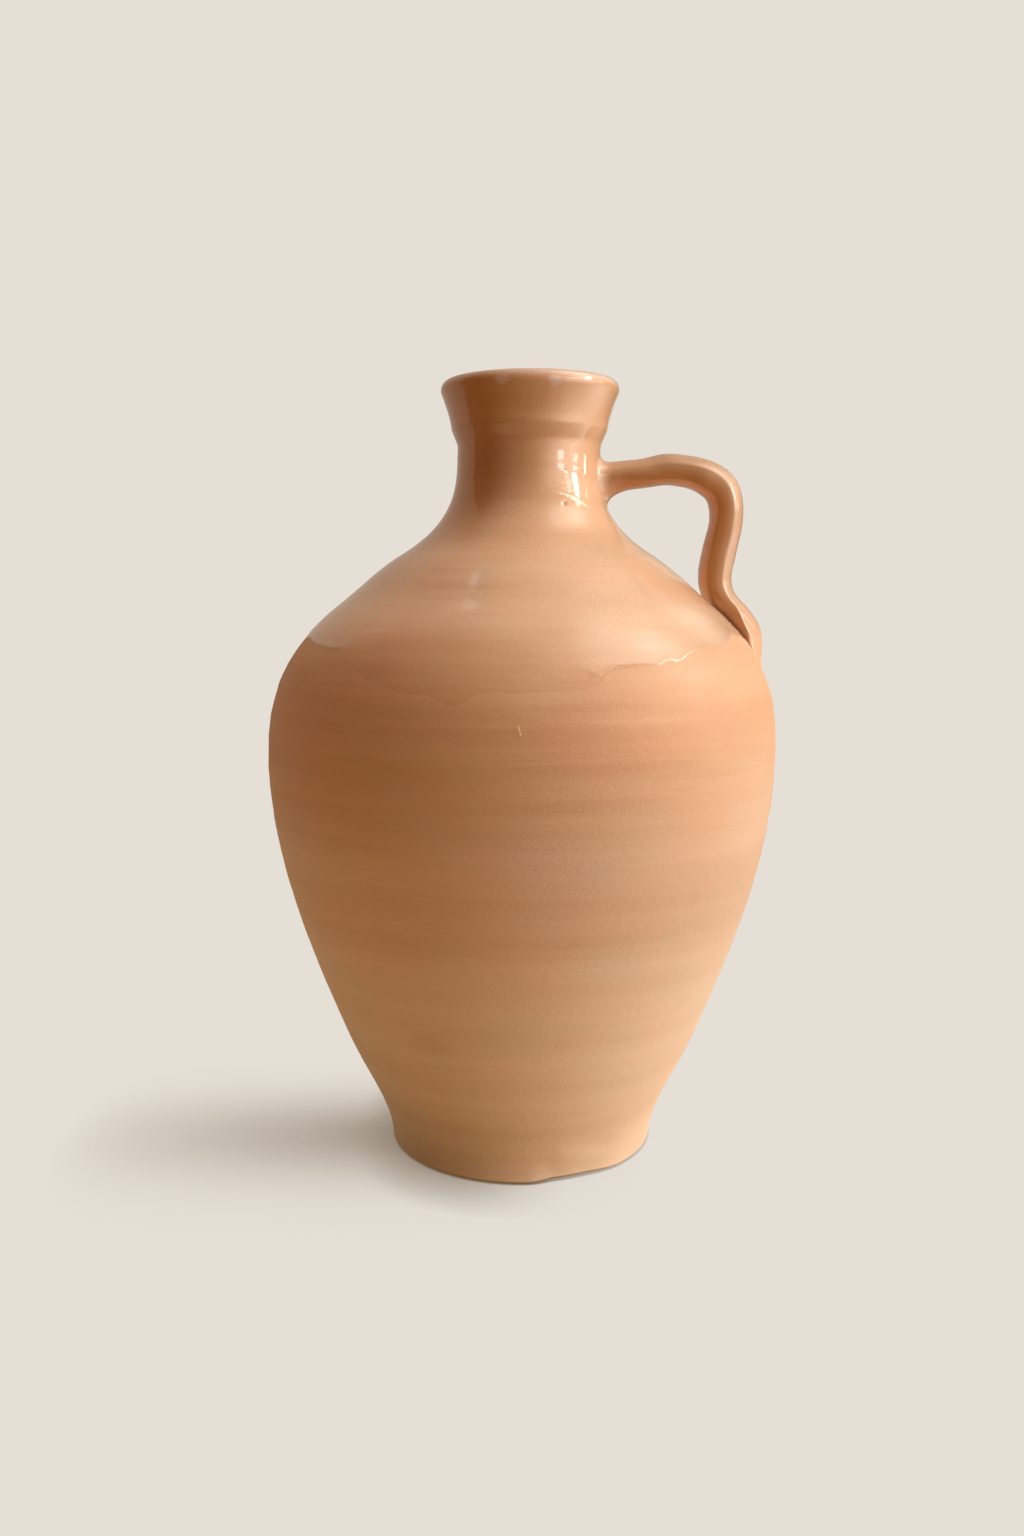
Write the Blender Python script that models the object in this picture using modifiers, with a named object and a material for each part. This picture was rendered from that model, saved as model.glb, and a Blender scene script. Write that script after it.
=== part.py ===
"""Clay water jug with one pulled handle, modelled as the clay pieces that the potter lutes together.

Metres, +Z up. The origin is on the jug's axis, on the surface that it stands on. The handle is on the +X side.
"""

import math

import bmesh
import bpy
from mathutils import Matrix, Vector
from mathutils.geometry import interpolate_bezier

JUG_HEIGHT = 0.4000

# Outside of the wall: rise from the station below, radius there, and radius gained for each unit of rise.
# The belly's own rise is what the other stations leave of the jug's height.
FOOT_RADIUS = 0.0702
FOOT_SLOPE = 0.0
FLANK_RISE = 0.0615
FLANK_RADIUS = 0.0935
FLANK_SLOPE = 0.41
BELLY_RADIUS = 0.1320
SHOULDER_RISE = 0.0770
SHOULDER_RADIUS = 0.0960
SHOULDER_SLOPE = -1.25
NECK_ROOT_RISE = 0.0260
NECK_ROOT_RADIUS = 0.0635
NECK_ROOT_SLOPE = -1.59
WAIST_RISE = 0.0525
WAIST_RADIUS = 0.0365
LEDGE_RISE = 0.0125
LEDGE_RADIUS = 0.0400
LIP_RISE = 0.0160
LIP_RADIUS = 0.0450
LIP_SLOPE = 0.45
LIP_CROWN = 0.0055

# Clay thickness, square to the wall
FLOOR_THICKNESS = 0.0100
FOOT_WALL = 0.0110
BELLY_WALL = 0.0075
NECK_WALL = 0.0075
LIP_WALL = 0.0090
FOOT_EDGE_ROUND = 0.0025

# Luted joints: bevelled edges with a layer of fired slip between them
NECK_SEAM_RISE = 0.0150
COLLAR_SEAM_RISE = 0.0020
BEVEL_RISE = 0.0040
SLIP_THICKNESS = 0.0010
SEAT_GAP = 0.0003

# Sideways drift of the upper half towards the handle, for each unit of height above the belly seam
UPPER_LEAN = 0.0246

# Handle: where it leaves the neck, its route, and where it lands on the shoulder
HANDLE_ROOT_DROP = 0.0136
CREST_REACH = 0.0390
CREST_RISE = 0.0038
ELBOW_REACH = 0.0600
ELBOW_DROP = 0.0032
BEND_REACH = 0.0660
BEND_DROP = 0.0177
LANDING_RISE = 0.0050
ANKLE_OUT = 0.0090
ANKLE_RISE = 0.0070
PAD_DROP = 0.0120
TAIL_DROP = 0.0255
TIP_DROP = 0.0360

# Handle sections: thickness in the plane of the arch, and width across it
ROOT_THICKNESS = 0.0150
CREST_THICKNESS = 0.0157
ELBOW_THICKNESS = 0.0180
BEND_THICKNESS = 0.0173
ANKLE_THICKNESS = 0.0172
PAD_THICKNESS = 0.0126
TAIL_THICKNESS = 0.0072
TIP_THICKNESS = 0.0040
ROOT_WIDTH = 0.0225
CREST_WIDTH = 0.0225
ELBOW_WIDTH = 0.0225
BEND_WIDTH = 0.0230
ANKLE_WIDTH = 0.0240
PAD_WIDTH = 0.0260
TAIL_WIDTH = 0.0250
TIP_WIDTH = 0.0150
TIP_ROUND = 0.0020
SECTION_SQUARENESS = 2.5

# Clay worked round the handle's two ends
ROOT_WAD_LENGTH = 0.0130
ROOT_WAD_FLARE = 0.0065
ROOT_WAD_SAG = 0.0040
ROOT_WAD_EDGE = 0.0013
TAIL_WAD_DROP = 0.0300
TAIL_WAD_HALF_LENGTH = 0.0170
TAIL_WAD_HALF_WIDTH = 0.0185
TAIL_WAD_HEIGHT = 0.0034

# Fineness of the facets
TURNED_SEGMENTS = 48
LIP_STEPS = 6
FOOT_EDGE_STEPS = 3
PATH_STEPS = 5
SECTION_SIDES = 14
PAD_SEGMENTS = 20

BARE_CLAY = ("bare_clay", (0.62, 0.31, 0.15), 0.72)
GLAZED_CLAY = ("glazed_clay", (0.58, 0.27, 0.11), 0.16)
FIRED_SLIP = ("fired_slip", (0.66, 0.37, 0.20), 0.80)

PARTS_NAME = "clay_water_jug"
CUTTERS_NAME = "cutters"

FLANK_HEIGHT = FLANK_RISE
LIP_HEIGHT = JUG_HEIGHT - LIP_CROWN
LEDGE_HEIGHT = LIP_HEIGHT - LIP_RISE
WAIST_HEIGHT = LEDGE_HEIGHT - LEDGE_RISE
NECK_ROOT_HEIGHT = WAIST_HEIGHT - WAIST_RISE
SHOULDER_HEIGHT = NECK_ROOT_HEIGHT - NECK_ROOT_RISE
BELLY_HEIGHT = SHOULDER_HEIGHT - SHOULDER_RISE

SLIP_CLEARANCE = SLIP_THICKNESS / 2 + SEAT_GAP
BASE_SEAM_HEIGHT = FLOOR_THICKNESS + SLIP_CLEARANCE
BELLY_SEAM_HEIGHT = BELLY_HEIGHT
NECK_SEAM_HEIGHT = NECK_ROOT_HEIGHT + NECK_SEAM_RISE
COLLAR_SEAM_HEIGHT = WAIST_HEIGHT + COLLAR_SEAM_RISE

WALL_STATIONS = (
    (0.0, FOOT_RADIUS, FOOT_SLOPE),
    (FLANK_HEIGHT, FLANK_RADIUS, FLANK_SLOPE),
    (BELLY_HEIGHT, BELLY_RADIUS, 0.0),
    (SHOULDER_HEIGHT, SHOULDER_RADIUS, SHOULDER_SLOPE),
    (NECK_ROOT_HEIGHT, NECK_ROOT_RADIUS, NECK_ROOT_SLOPE),
    (WAIST_HEIGHT, WAIST_RADIUS, 0.0),
    (LEDGE_HEIGHT, LEDGE_RADIUS, 0.0),
    (LIP_HEIGHT, LIP_RADIUS, LIP_SLOPE),
)
THICKNESS_STATIONS = (
    (0.0, FOOT_WALL),
    (BELLY_HEIGHT, BELLY_WALL),
    (WAIST_HEIGHT, NECK_WALL),
    (LIP_HEIGHT, LIP_WALL),
)


def span_holding(height, stations):
    """The two neighbouring stations that a height lies between."""
    for low, high in zip(stations, stations[1:]):
        if height <= high[0]:
            return low, high
    return stations[-2], stations[-1]


def wall_radius(height):
    """Outside radius of the clay: a cubic from station to station, with each station's slope."""
    (low, low_radius, low_slope), (high, high_radius, high_slope) = span_holding(height, WALL_STATIONS)
    rise = high - low
    t = (height - low) / rise
    return (
        (2 * t**3 - 3 * t**2 + 1) * low_radius
        + (t**3 - 2 * t**2 + t) * rise * low_slope
        + (3 * t**2 - 2 * t**3) * high_radius
        + (t**3 - t**2) * rise * high_slope
    )


def wall_slope(height):
    """Outside radius gained for each unit of rise at a height."""
    (low, low_radius, low_slope), (high, high_radius, high_slope) = span_holding(height, WALL_STATIONS)
    rise = high - low
    t = (height - low) / rise
    return (
        (6 * t**2 - 6 * t) * (low_radius - high_radius) / rise
        + (3 * t**2 - 4 * t + 1) * low_slope
        + (3 * t**2 - 2 * t) * high_slope
    )


def radial_thickness(height):
    """Thickness of the wall measured level, which grows where the wall slopes."""
    (low, low_wall), (high, high_wall) = span_holding(height, THICKNESS_STATIONS)
    share = (height - low) / (high - low)
    return (low_wall + (high_wall - low_wall) * share) * math.hypot(1, wall_slope(height))


def inner_radius(height):
    return wall_radius(height) - radial_thickness(height)


def lean_shift(height):
    return UPPER_LEAN * (height - BELLY_SEAM_HEIGHT)


def wall_normal(height):
    return Vector((1, 0, -wall_slope(height))).normalized()


def wall_point(height, out=0.0):
    """Point on the handle's side of the leaning upper half, moved out square to the wall."""
    on_wall = Vector((wall_radius(height) + lean_shift(height), 0, height))
    return on_wall + wall_normal(height) * out


def steps_between(start, end, count):
    return [start + (end - start) * i / (count - 1) for i in range(count)]


def seam_edges(height, bevel, offset):
    """Heights of the outer and inner edge of a seam's face, moved up by an offset square to that face."""
    level = radial_thickness(height)
    rise = offset * math.hypot(level, bevel) / level
    return height - bevel / 2 + rise, height + bevel / 2 + rise


def collection(name):
    made = bpy.data.collections.new(name)
    bpy.context.scene.collection.children.link(made)
    return made


def clay(name, colour, roughness):
    made = bpy.data.materials.new(name)
    made.use_nodes = True
    shader = made.node_tree.nodes["Principled BSDF"]
    shader.inputs["Base Color"].default_value = (*colour, 1)
    shader.inputs["Roughness"].default_value = roughness
    shader.inputs["Metallic"].default_value = 0.0
    return made


def linked(name, mesh, where):
    obj = bpy.data.objects.new(name, mesh)
    where.objects.link(obj)
    return obj


def as_cutter(obj):
    obj.hide_render = True
    obj.display_type = "WIRE"
    return obj


def cut_by(obj, cutter):
    modifier = obj.modifiers.new("cut_" + cutter.name, "BOOLEAN")
    modifier.operation = "DIFFERENCE"
    modifier.object = cutter


def turned(name, profile, where, ring):
    """A turned piece: the profile runs down its outer side, and a ring's profile closes on itself."""
    mesh = bpy.data.meshes.new(name)
    edges = [(i, i + 1) for i in range(len(profile) - 1)]
    if ring:
        edges.append((len(profile) - 1, 0))
    mesh.from_pydata([(radius, 0, height) for radius, height in profile], edges, [])
    obj = linked(name, mesh, where)
    screw = obj.modifiers.new("turn", "SCREW")
    screw.axis = "Z"
    screw.steps = TURNED_SEGMENTS
    screw.render_steps = TURNED_SEGMENTS
    screw.use_merge_vertices = True
    screw.merge_threshold = 0.00001
    screw.use_smooth_shade = True
    return obj


def leaning(obj):
    """Turns the piece into a mesh and shears it, so that it drifts sideways above the belly seam."""
    graph = bpy.context.evaluated_depsgraph_get()
    mesh = bpy.data.meshes.new_from_object(obj.evaluated_get(graph))
    seam = Matrix.Translation((0, 0, BELLY_SEAM_HEIGHT))
    mesh.transform(seam @ Matrix.Shear("XY", 4, (UPPER_LEAN, 0)) @ seam.inverted())
    obj.modifiers.clear()
    obj.data = mesh
    return obj


def seated(obj, origin, parent):
    """Puts the object's own origin on its seat, with its shape left where it is."""
    obj.data.transform(Matrix.Translation(-Vector(origin)))
    obj.location = origin
    obj.parent = parent
    return obj


def wall_section(lower, upper, outer_count, inner_count):
    """Closed profile of the wall between two seams, each given as its height and its bevel."""
    low_outer, low_inner = seam_edges(*lower, SLIP_CLEARANCE)
    high_outer, high_inner = seam_edges(*upper, -SLIP_CLEARANCE)
    outside = [(wall_radius(z), z) for z in steps_between(high_outer, low_outer, outer_count)]
    inside = [(inner_radius(z), z) for z in steps_between(low_inner, high_inner, inner_count)]
    return outside + inside


def slip_section(height, bevel):
    """Closed profile of the slip layer that fills a seam."""
    top_outer, top_inner = seam_edges(height, bevel, SLIP_THICKNESS / 2)
    under_outer, under_inner = seam_edges(height, bevel, -SLIP_THICKNESS / 2)
    outside = [(wall_radius(z), z) for z in (top_outer, under_outer)]
    inside = [(inner_radius(z), z) for z in (under_inner, top_inner)]
    return outside + inside


def slab_section():
    """Profile of the base slab, from the middle of the floor round the foot's edge to the middle of the underside."""
    foot = wall_radius(FOOT_EDGE_ROUND)
    edge = []
    for turn in steps_between(0, math.pi / 2, FOOT_EDGE_STEPS + 1):
        radius = foot - FOOT_EDGE_ROUND * (1 - math.cos(turn))
        edge.append((radius, FOOT_EDGE_ROUND * (1 - math.sin(turn))))
    top = [(0, FLOOR_THICKNESS), (wall_radius(FLOOR_THICKNESS), FLOOR_THICKNESS)]
    return top + edge + [(0, 0)]


def collar_section():
    """Closed profile of the mouth collar: flaring wall, rounded lip and throat."""
    low_outer, low_inner = seam_edges(COLLAR_SEAM_HEIGHT, BEVEL_RISE, SLIP_CLEARANCE)
    half_lip = LIP_WALL / 2
    lip = []
    for turn in steps_between(math.pi, 0, LIP_STEPS + 1):
        lip.append((LIP_RADIUS - half_lip + half_lip * math.cos(turn), LIP_HEIGHT + LIP_CROWN * math.sin(turn)))
    outside = [(wall_radius(z), z) for z in steps_between(LIP_HEIGHT, low_outer, 8)]
    inside = [(inner_radius(z), z) for z in steps_between(low_inner, LEDGE_HEIGHT + LIP_RISE / 2, 5)]
    return lip + outside[1:] + inside


def superellipse(turn, half_thickness, half_width):
    power = 2 / SECTION_SQUARENESS
    across = math.copysign(abs(math.cos(turn)) ** power, math.cos(turn)) * half_thickness
    sideways = math.copysign(abs(math.sin(turn)) ** power, math.sin(turn)) * half_width
    return across, sideways


def loft(name, sections, where):
    """Skin over sections, each given as its centre, its outward direction in the arch's plane, and its half sizes."""
    builder = bmesh.new()
    rings = []
    for centre, outward, half_thickness, half_width in sections:
        ring = []
        for side in range(SECTION_SIDES):
            across, sideways = superellipse(math.tau * side / SECTION_SIDES, half_thickness, half_width)
            ring.append(builder.verts.new(centre + outward * across + Vector((0, sideways, 0))))
        rings.append(ring)
    for ring, following in zip(rings, rings[1:]):
        for side in range(SECTION_SIDES):
            beside = (side + 1) % SECTION_SIDES
            builder.faces.new((ring[side], ring[beside], following[beside], following[side]))
    builder.faces.new(rings[0])
    builder.faces.new(rings[-1])
    bmesh.ops.recalc_face_normals(builder, faces=builder.faces)
    mesh = bpy.data.meshes.new(name)
    builder.to_mesh(mesh)
    builder.free()
    mesh.shade_smooth()
    mesh.set_sharp_from_angle(angle=math.radians(50))
    return linked(name, mesh, where)


def handle_stations():
    """The handle's route: each station's centre, direction of travel, thickness and width."""
    root_height = WAIST_HEIGHT - HANDLE_ROOT_DROP
    landing_height = SHOULDER_HEIGHT + LANDING_RISE
    pad_height = SHOULDER_HEIGHT - PAD_DROP
    tail_height = SHOULDER_HEIGHT - TAIL_DROP
    tip_height = SHOULDER_HEIGHT - TIP_DROP
    root = wall_point(root_height)
    landing = wall_point(landing_height)
    centres = [
        root - Vector((NECK_WALL, 0, 0)),
        root + Vector((CREST_REACH, 0, CREST_RISE)),
        root + Vector((ELBOW_REACH, 0, -ELBOW_DROP)),
        root + Vector((BEND_REACH, 0, -BEND_DROP)),
        landing + Vector((ANKLE_OUT, 0, ANKLE_RISE)),
        wall_point(pad_height, PAD_THICKNESS / 2),
        wall_point(tail_height, TAIL_THICKNESS / 2),
        wall_point(tip_height, TIP_THICKNESS / 2),
    ]
    down_the_wall = Vector((wall_slope(tip_height), 0, 1)).normalized() * -1
    travel = [Vector((1, 0, 0))]
    travel += [(after - before).normalized() for before, after in zip(centres, centres[2:])]
    travel.append(down_the_wall)
    sizes = [
        (ROOT_THICKNESS, ROOT_WIDTH),
        (CREST_THICKNESS, CREST_WIDTH),
        (ELBOW_THICKNESS, ELBOW_WIDTH),
        (BEND_THICKNESS, BEND_WIDTH),
        (ANKLE_THICKNESS, ANKLE_WIDTH),
        (PAD_THICKNESS, PAD_WIDTH),
        (TAIL_THICKNESS, TAIL_WIDTH),
        (TIP_THICKNESS, TIP_WIDTH),
    ]
    return [(centre, along, *size) for centre, along, size in zip(centres, travel, sizes)]


def handle_sections(grow=0.0):
    """Sections along the handle's smooth centre line, each side grown by the same amount."""
    sections = []
    stations = handle_stations()
    for start, end in zip(stations, stations[1:]):
        reach = (end[0] - start[0]).length / 3
        line = interpolate_bezier(
            start[0], start[0] + start[1] * reach, end[0] - end[1] * reach, end[0], PATH_STEPS + 1
        )
        for step in range(PATH_STEPS):
            share = step / PATH_STEPS
            ease = share * share * (3 - 2 * share)
            along = (line[step + 1] - line[max(step - 1, 0)]).normalized()
            outward = Vector((-along.z, 0, along.x))
            half_thickness = (start[2] + (end[2] - start[2]) * ease) / 2 + grow
            half_width = (start[3] + (end[3] - start[3]) * ease) / 2 + grow
            sections.append((line[step], outward, half_thickness, half_width))
    centre, along, thickness, width = stations[-1]
    outward = Vector((-along.z, 0, along.x))
    sections.append((centre, outward, thickness / 2 + grow, width / 2 + grow))
    rounded_end = centre + along * (TIP_ROUND + grow)
    sections.append((rounded_end, outward, thickness / 4 + grow, width / 4 + grow))
    return sections


def root_wad_sections():
    """Sections of the clay round the handle's root: a flare that swells towards the neck, most of it below."""
    sections = []
    root = wall_point(WAIST_HEIGHT - HANDLE_ROOT_DROP)
    centres = steps_between(root.x - NECK_WALL, root.x + ROOT_WAD_LENGTH, PATH_STEPS + 3)
    for x in centres:
        swell = (1 - max(x - root.x, 0) / ROOT_WAD_LENGTH) ** 2
        flare = ROOT_WAD_EDGE + ROOT_WAD_FLARE * swell
        centre = Vector((x, 0, root.z - ROOT_WAD_SAG * swell))
        outward = Vector((0, 0, 1))
        sections.append((centre, outward, ROOT_THICKNESS / 2 + flare, ROOT_WIDTH / 2 + flare))
    return sections


def make_wall_cutter(where):
    """Outside of the leaning upper half, grown by the seat gap: it shapes what seats on the wall."""
    low = (FLANK_HEIGHT + BELLY_HEIGHT) / 2
    outside = []
    for z in steps_between(LIP_HEIGHT, low, 40):
        outside.append((wall_radius(z) + SEAT_GAP * math.hypot(1, wall_slope(z)), z))
    profile = [(0, LIP_HEIGHT)] + outside + [(0, low)]
    return as_cutter(leaning(turned("wall_cutter", profile, where, ring=False)))


def make_turned_pieces(parts, jug):
    base_seam = (BASE_SEAM_HEIGHT, 0.0)
    belly_seam = (BELLY_SEAM_HEIGHT, BEVEL_RISE)
    neck_seam = (NECK_SEAM_HEIGHT, BEVEL_RISE)
    collar_seam = (COLLAR_SEAM_HEIGHT, BEVEL_RISE)
    bare = clay(*BARE_CLAY)
    glazed = clay(*GLAZED_CLAY)
    slip = clay(*FIRED_SLIP)
    upright = (
        ("base_slab", slab_section(), False, 0.0, bare),
        ("base_slip_ring", slip_section(*base_seam), True, BASE_SEAM_HEIGHT, slip),
        ("lower_body", wall_section(base_seam, belly_seam, 13, 11), True, BASE_SEAM_HEIGHT, bare),
        ("belly_slip_ring", slip_section(*belly_seam), True, BELLY_SEAM_HEIGHT, slip),
    )
    leaned = (
        ("upper_body", wall_section(belly_seam, neck_seam, 14, 11), BELLY_SEAM_HEIGHT, glazed),
        ("neck_slip_ring", slip_section(*neck_seam), NECK_SEAM_HEIGHT, slip),
        ("neck", wall_section(neck_seam, collar_seam, 8, 7), NECK_SEAM_HEIGHT, glazed),
        ("collar_slip_ring", slip_section(*collar_seam), COLLAR_SEAM_HEIGHT, slip),
        ("mouth_collar", collar_section(), COLLAR_SEAM_HEIGHT, glazed),
    )
    for name, profile, ring, seat, material in upright:
        piece = seated(turned(name, profile, parts, ring), (0, 0, seat), jug)
        piece.data.materials.append(material)
    for name, profile, seat, material in leaned:
        piece = seated(leaning(turned(name, profile, parts, True)), (lean_shift(seat), 0, seat), jug)
        piece.data.materials.append(material)
    return bare, glazed


def make_handle(parts, jug, wall_cutter, glazed):
    """The pulled handle, with both ends cut to sit on the clay that they are luted to."""
    handle = loft("handle", handle_sections(), parts)
    handle.data.materials.append(glazed)
    cut_by(handle, wall_cutter)
    return seated(handle, wall_point(WAIST_HEIGHT - HANDLE_ROOT_DROP), jug)


def make_root_wad(parts, jug, wall_cutter, handle_cutter, glazed):
    wad = loft("handle_root_wad", root_wad_sections(), parts)
    wad.data.materials.append(glazed)
    cut_by(wad, wall_cutter)
    cut_by(wad, handle_cutter)
    return seated(wad, wall_point(WAIST_HEIGHT - HANDLE_ROOT_DROP), jug)


def make_tail_wad(parts, jug, wall_cutter, handle_cutter, bare):
    """The thumbed pad of clay that feathers the handle's tail into the shoulder."""
    height = SHOULDER_HEIGHT - TAIL_WAD_DROP
    centre = wall_point(height)
    normal = wall_normal(height)
    bpy.ops.mesh.primitive_uv_sphere_add(segments=PAD_SEGMENTS, ring_count=PAD_SEGMENTS // 2, radius=1)
    wad = bpy.context.object
    wad.name = "handle_tail_wad"
    bpy.context.collection.objects.unlink(wad)
    parts.objects.link(wad)
    half_sizes = Matrix.Diagonal((TAIL_WAD_HALF_LENGTH, TAIL_WAD_HALF_WIDTH, TAIL_WAD_HEIGHT, 1))
    tilt = Matrix.Rotation(math.atan2(normal.x, normal.z), 4, "Y")
    wad.data.transform(Matrix.Translation(centre) @ tilt @ half_sizes)
    wad.data.shade_smooth()
    wad.data.materials.append(bare)
    cut_by(wad, wall_cutter)
    cut_by(wad, handle_cutter)
    return seated(wad, centre, jug)


def main():
    for obj in list(bpy.data.objects):
        bpy.data.objects.remove(obj)
    parts = collection(PARTS_NAME)
    cutters = collection(CUTTERS_NAME)
    jug = bpy.data.objects.new("jug", None)
    parts.objects.link(jug)
    bare, glazed = make_turned_pieces(parts, jug)
    wall_cutter = make_wall_cutter(cutters)
    handle_cutter = as_cutter(loft("handle_cutter", handle_sections(SEAT_GAP), cutters))
    make_handle(parts, jug, wall_cutter, glazed)
    make_root_wad(parts, jug, wall_cutter, handle_cutter, glazed)
    make_tail_wad(parts, jug, wall_cutter, handle_cutter, bare)


main()
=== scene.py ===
"""Looks of the clay water jug: thrown walls, a pulled handle, honey glaze over bare clay, and a pale studio.

Metres, +Z up. The origin is on the jug's axis, on the floor, and the handle is on the +X side. Angles round
the jug are in degrees from the handle, so that -90 faces the camera.
"""

import math

import bmesh
import bpy
import numpy as np
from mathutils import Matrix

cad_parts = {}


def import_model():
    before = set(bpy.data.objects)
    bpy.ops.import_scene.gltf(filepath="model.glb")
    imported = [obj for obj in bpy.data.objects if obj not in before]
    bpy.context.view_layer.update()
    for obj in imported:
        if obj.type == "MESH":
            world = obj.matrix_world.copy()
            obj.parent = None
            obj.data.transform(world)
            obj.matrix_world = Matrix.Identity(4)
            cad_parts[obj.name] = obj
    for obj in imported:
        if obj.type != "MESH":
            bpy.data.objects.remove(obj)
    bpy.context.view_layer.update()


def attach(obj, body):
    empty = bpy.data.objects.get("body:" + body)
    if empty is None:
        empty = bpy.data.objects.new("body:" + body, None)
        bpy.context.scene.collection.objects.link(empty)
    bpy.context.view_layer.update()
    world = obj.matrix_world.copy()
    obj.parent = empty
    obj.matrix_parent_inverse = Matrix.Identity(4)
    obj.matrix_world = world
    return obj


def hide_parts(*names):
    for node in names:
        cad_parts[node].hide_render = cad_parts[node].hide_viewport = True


MILLIMETRE = 0.001
# Places this close are the same place
SAME_PLACE = 1e-6
# Angle round the jug that faces the camera
FRONT = -90.0

# Outside of the wall: height, radius, and radius gained for each unit of rise
WALL_STATIONS = np.array((
    (0.0000, 0.0702, 0.00),
    (0.0615, 0.0935, 0.41),
    (0.2105, 0.1320, 0.00),
    (0.2875, 0.0960, -1.25),
    (0.3135, 0.0635, -1.59),
    (0.3660, 0.0365, 0.00),
    (0.3682, 0.0367, 0.20),
    (0.3700, 0.0373, 0.42),
    (0.3748, 0.0393, 0.40),
    (0.3766, 0.0398, 0.12),
    (0.3938, 0.0450, 0.45),
))

# Thickness of the clay, square to the wall, at a height
CLAY_HEIGHTS = (0.0000, 0.2105, 0.3660, 0.3938)
CLAY_THICKNESS = (0.0110, 0.0075, 0.0075, 0.0090)
# Height over which the lining is smoothed
LINING_CALM = 0.0070

# Luted seams, where one thrown piece ends and the next begins, and the narrow row beside each
BASE_SEAM = 0.0108
BELLY_SEAM = 0.2105
NECK_SEAM = 0.3285
COLLAR_SEAM = 0.3680
SEAM_MARGIN = 0.00015

# Rounded foot edge, rounded lip, and how far the wall leans to the handle with each unit of rise above the
# belly
FOOT_EDGE_ROUND = 0.0025
LIP_HEIGHT = 0.3938
LIP_RADIUS = 0.0450
LIP_ROUND = 0.0046
UPPER_LEAN = 0.0246
# How far below the lip's start the throat's lining and the smoothing of the lip begin, and that smoothing
THROAT_BELOW = 0.0040
LIP_SOFT_BELOW = 0.0035
LIP_SOFTENING = 0.5
LIP_SOFTENING_ROUNDS = 4

# Fineness of the turned pieces: steps round the jug, the lip and the foot's edge, rows of the foot, the rim
# and the throat, cuts that make each row finer, what is merged on the axis, and the angle that stays crisp
TURN_STEPS = 400
LIP_STEPS = 18
FOOT_EDGE_STEPS = 6
FOOT_ROWS = 3
RIM_ROWS = 7
THROAT_ROWS = 14
FOOT_CUTS = 2
WALL_CUTS = 7
AXIS_MERGE = 1e-5
SMOOTH_ANGLE = 40.0
# Thrown walls: seams below and above, rows up the outside, and rows down the lining
THROWN_WALLS = {
    "lower_wall": (BASE_SEAM, BELLY_SEAM, 21, 20),
    "shoulder_wall": (BELLY_SEAM, NECK_SEAM, 24, 16),
    "neck_wall": (NECK_SEAM, COLLAR_SEAM, 9, 14),
}
# Rings of the foot's underside and of the floor inside
UNDERSIDE_RADII = (0.0, 0.030, 0.050, 0.060)
INNER_FLOOR_RADII = (0.050, 0.0)

# Handle: reach from the neck's wall, rise above the root, thickness in the arch's plane, and width across it
ROOT_HEIGHT = 0.3524
ARCH_STATIONS = (
    (0.0000, 0.0000, 0.0150, 0.0225),
    (0.0180, 0.0014, 0.0150, 0.0225),
    (0.0390, 0.0038, 0.0157, 0.0225),
    (0.0600, -0.0032, 0.0180, 0.0225),
    (0.0660, -0.0177, 0.0173, 0.0230),
)
# Where the strap lands on the shoulder, and its ankle above that
LANDING_HEIGHT = 0.2925
ANKLE_OUT = 0.0090
ANKLE_RISE = 0.0070
ANKLE_THICKNESS = 0.0172
ANKLE_WIDTH = 0.0240
# How far the root goes into the neck, sections at the root and from station to station, sides of the strap,
# and levels that make it finer
ROOT_INSIDE = 0.0030
ROOT_STEPS = 14
ROUTE_STEPS = 7
STRAP_SIDES = 32
STRAP_LEVELS = 2

# Tail of the handle, thumbed along the shoulder: height, how far it stands off the wall, how far up its side
# walls go before they turn over, and width
TAIL_STATIONS = np.array((
    (0.2810, 0.0125, 0.0078, 0.0250),
    (0.2750, 0.0124, 0.0048, 0.0256),
    (0.2710, 0.0120, 0.0028, 0.0262),
    (0.2670, 0.0103, 0.0006, 0.0268),
    (0.2640, 0.0080, 0.0000, 0.0272),
    (0.2610, 0.0054, 0.0000, 0.0274),
    (0.2570, 0.0026, 0.0000, 0.0270),
    (0.2520, 0.0006, 0.0000, 0.0250),
    (0.2470, -0.0005, 0.0000, 0.0210),
    (0.2430, -0.0014, 0.0000, 0.0140),
))
TAIL_SINK = 0.0016
# Heights between which the tail's tip bends round the wall
TAIL_TIP_HEIGHTS = (0.2660, 0.2550)
TAIL_STEPS = 26

# Section of the strap: where its side walls turn over into the crowned outside and inside, as parts of half
# its thickness, how crisp its edges are along the arch, and where its round root turns into that
CROWN_FROM = 0.25
UNDER_FROM = 0.85
ARCH_CRISP = 0.65
CRISP_ALONG = (0.0060, 0.0360)
# Steps of the section, how many of them round an edge, and how far round its crown reaches
SECTION_STEPS = 721
SECTION_ROUNDING = 49
CROWN_SHARE = 0.36
# Points this far out in the pulled strap belong to its skin
STRAP_SKIN = 0.85
# Slow lumps along the strap: depth, wavelength, turns round it, and phase
STRAP_LUMPS = ((0.00012, 0.031, 2, 0.0), (0.00008, 0.017, 1, 1.0))
LUMPS_FROM_NECK = (0.0, 0.03)
LUMPS_FROM_TIP = (0.02, 0.04)

# The handle's glaze is thin on its lit outside and deep on its sides and inside, a deep colour that is partly
# painted shade: from where to where across the section, and how far from the neck it gets its full depth
THIN_GLAZE_LIT_ACROSS = (-0.50, 0.60)
HANDLE_DEEP_FROM_NECK = (-0.004, 0.016)
# Heights on the tail where the gloss and the film end, and how gradually the gloss does
HANDLE_GLOSS_EDGE = 0.2740
HANDLE_GLOSS_SOFTNESS = 0.0090
HANDLE_FILM_EDGE = 0.2600
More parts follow.
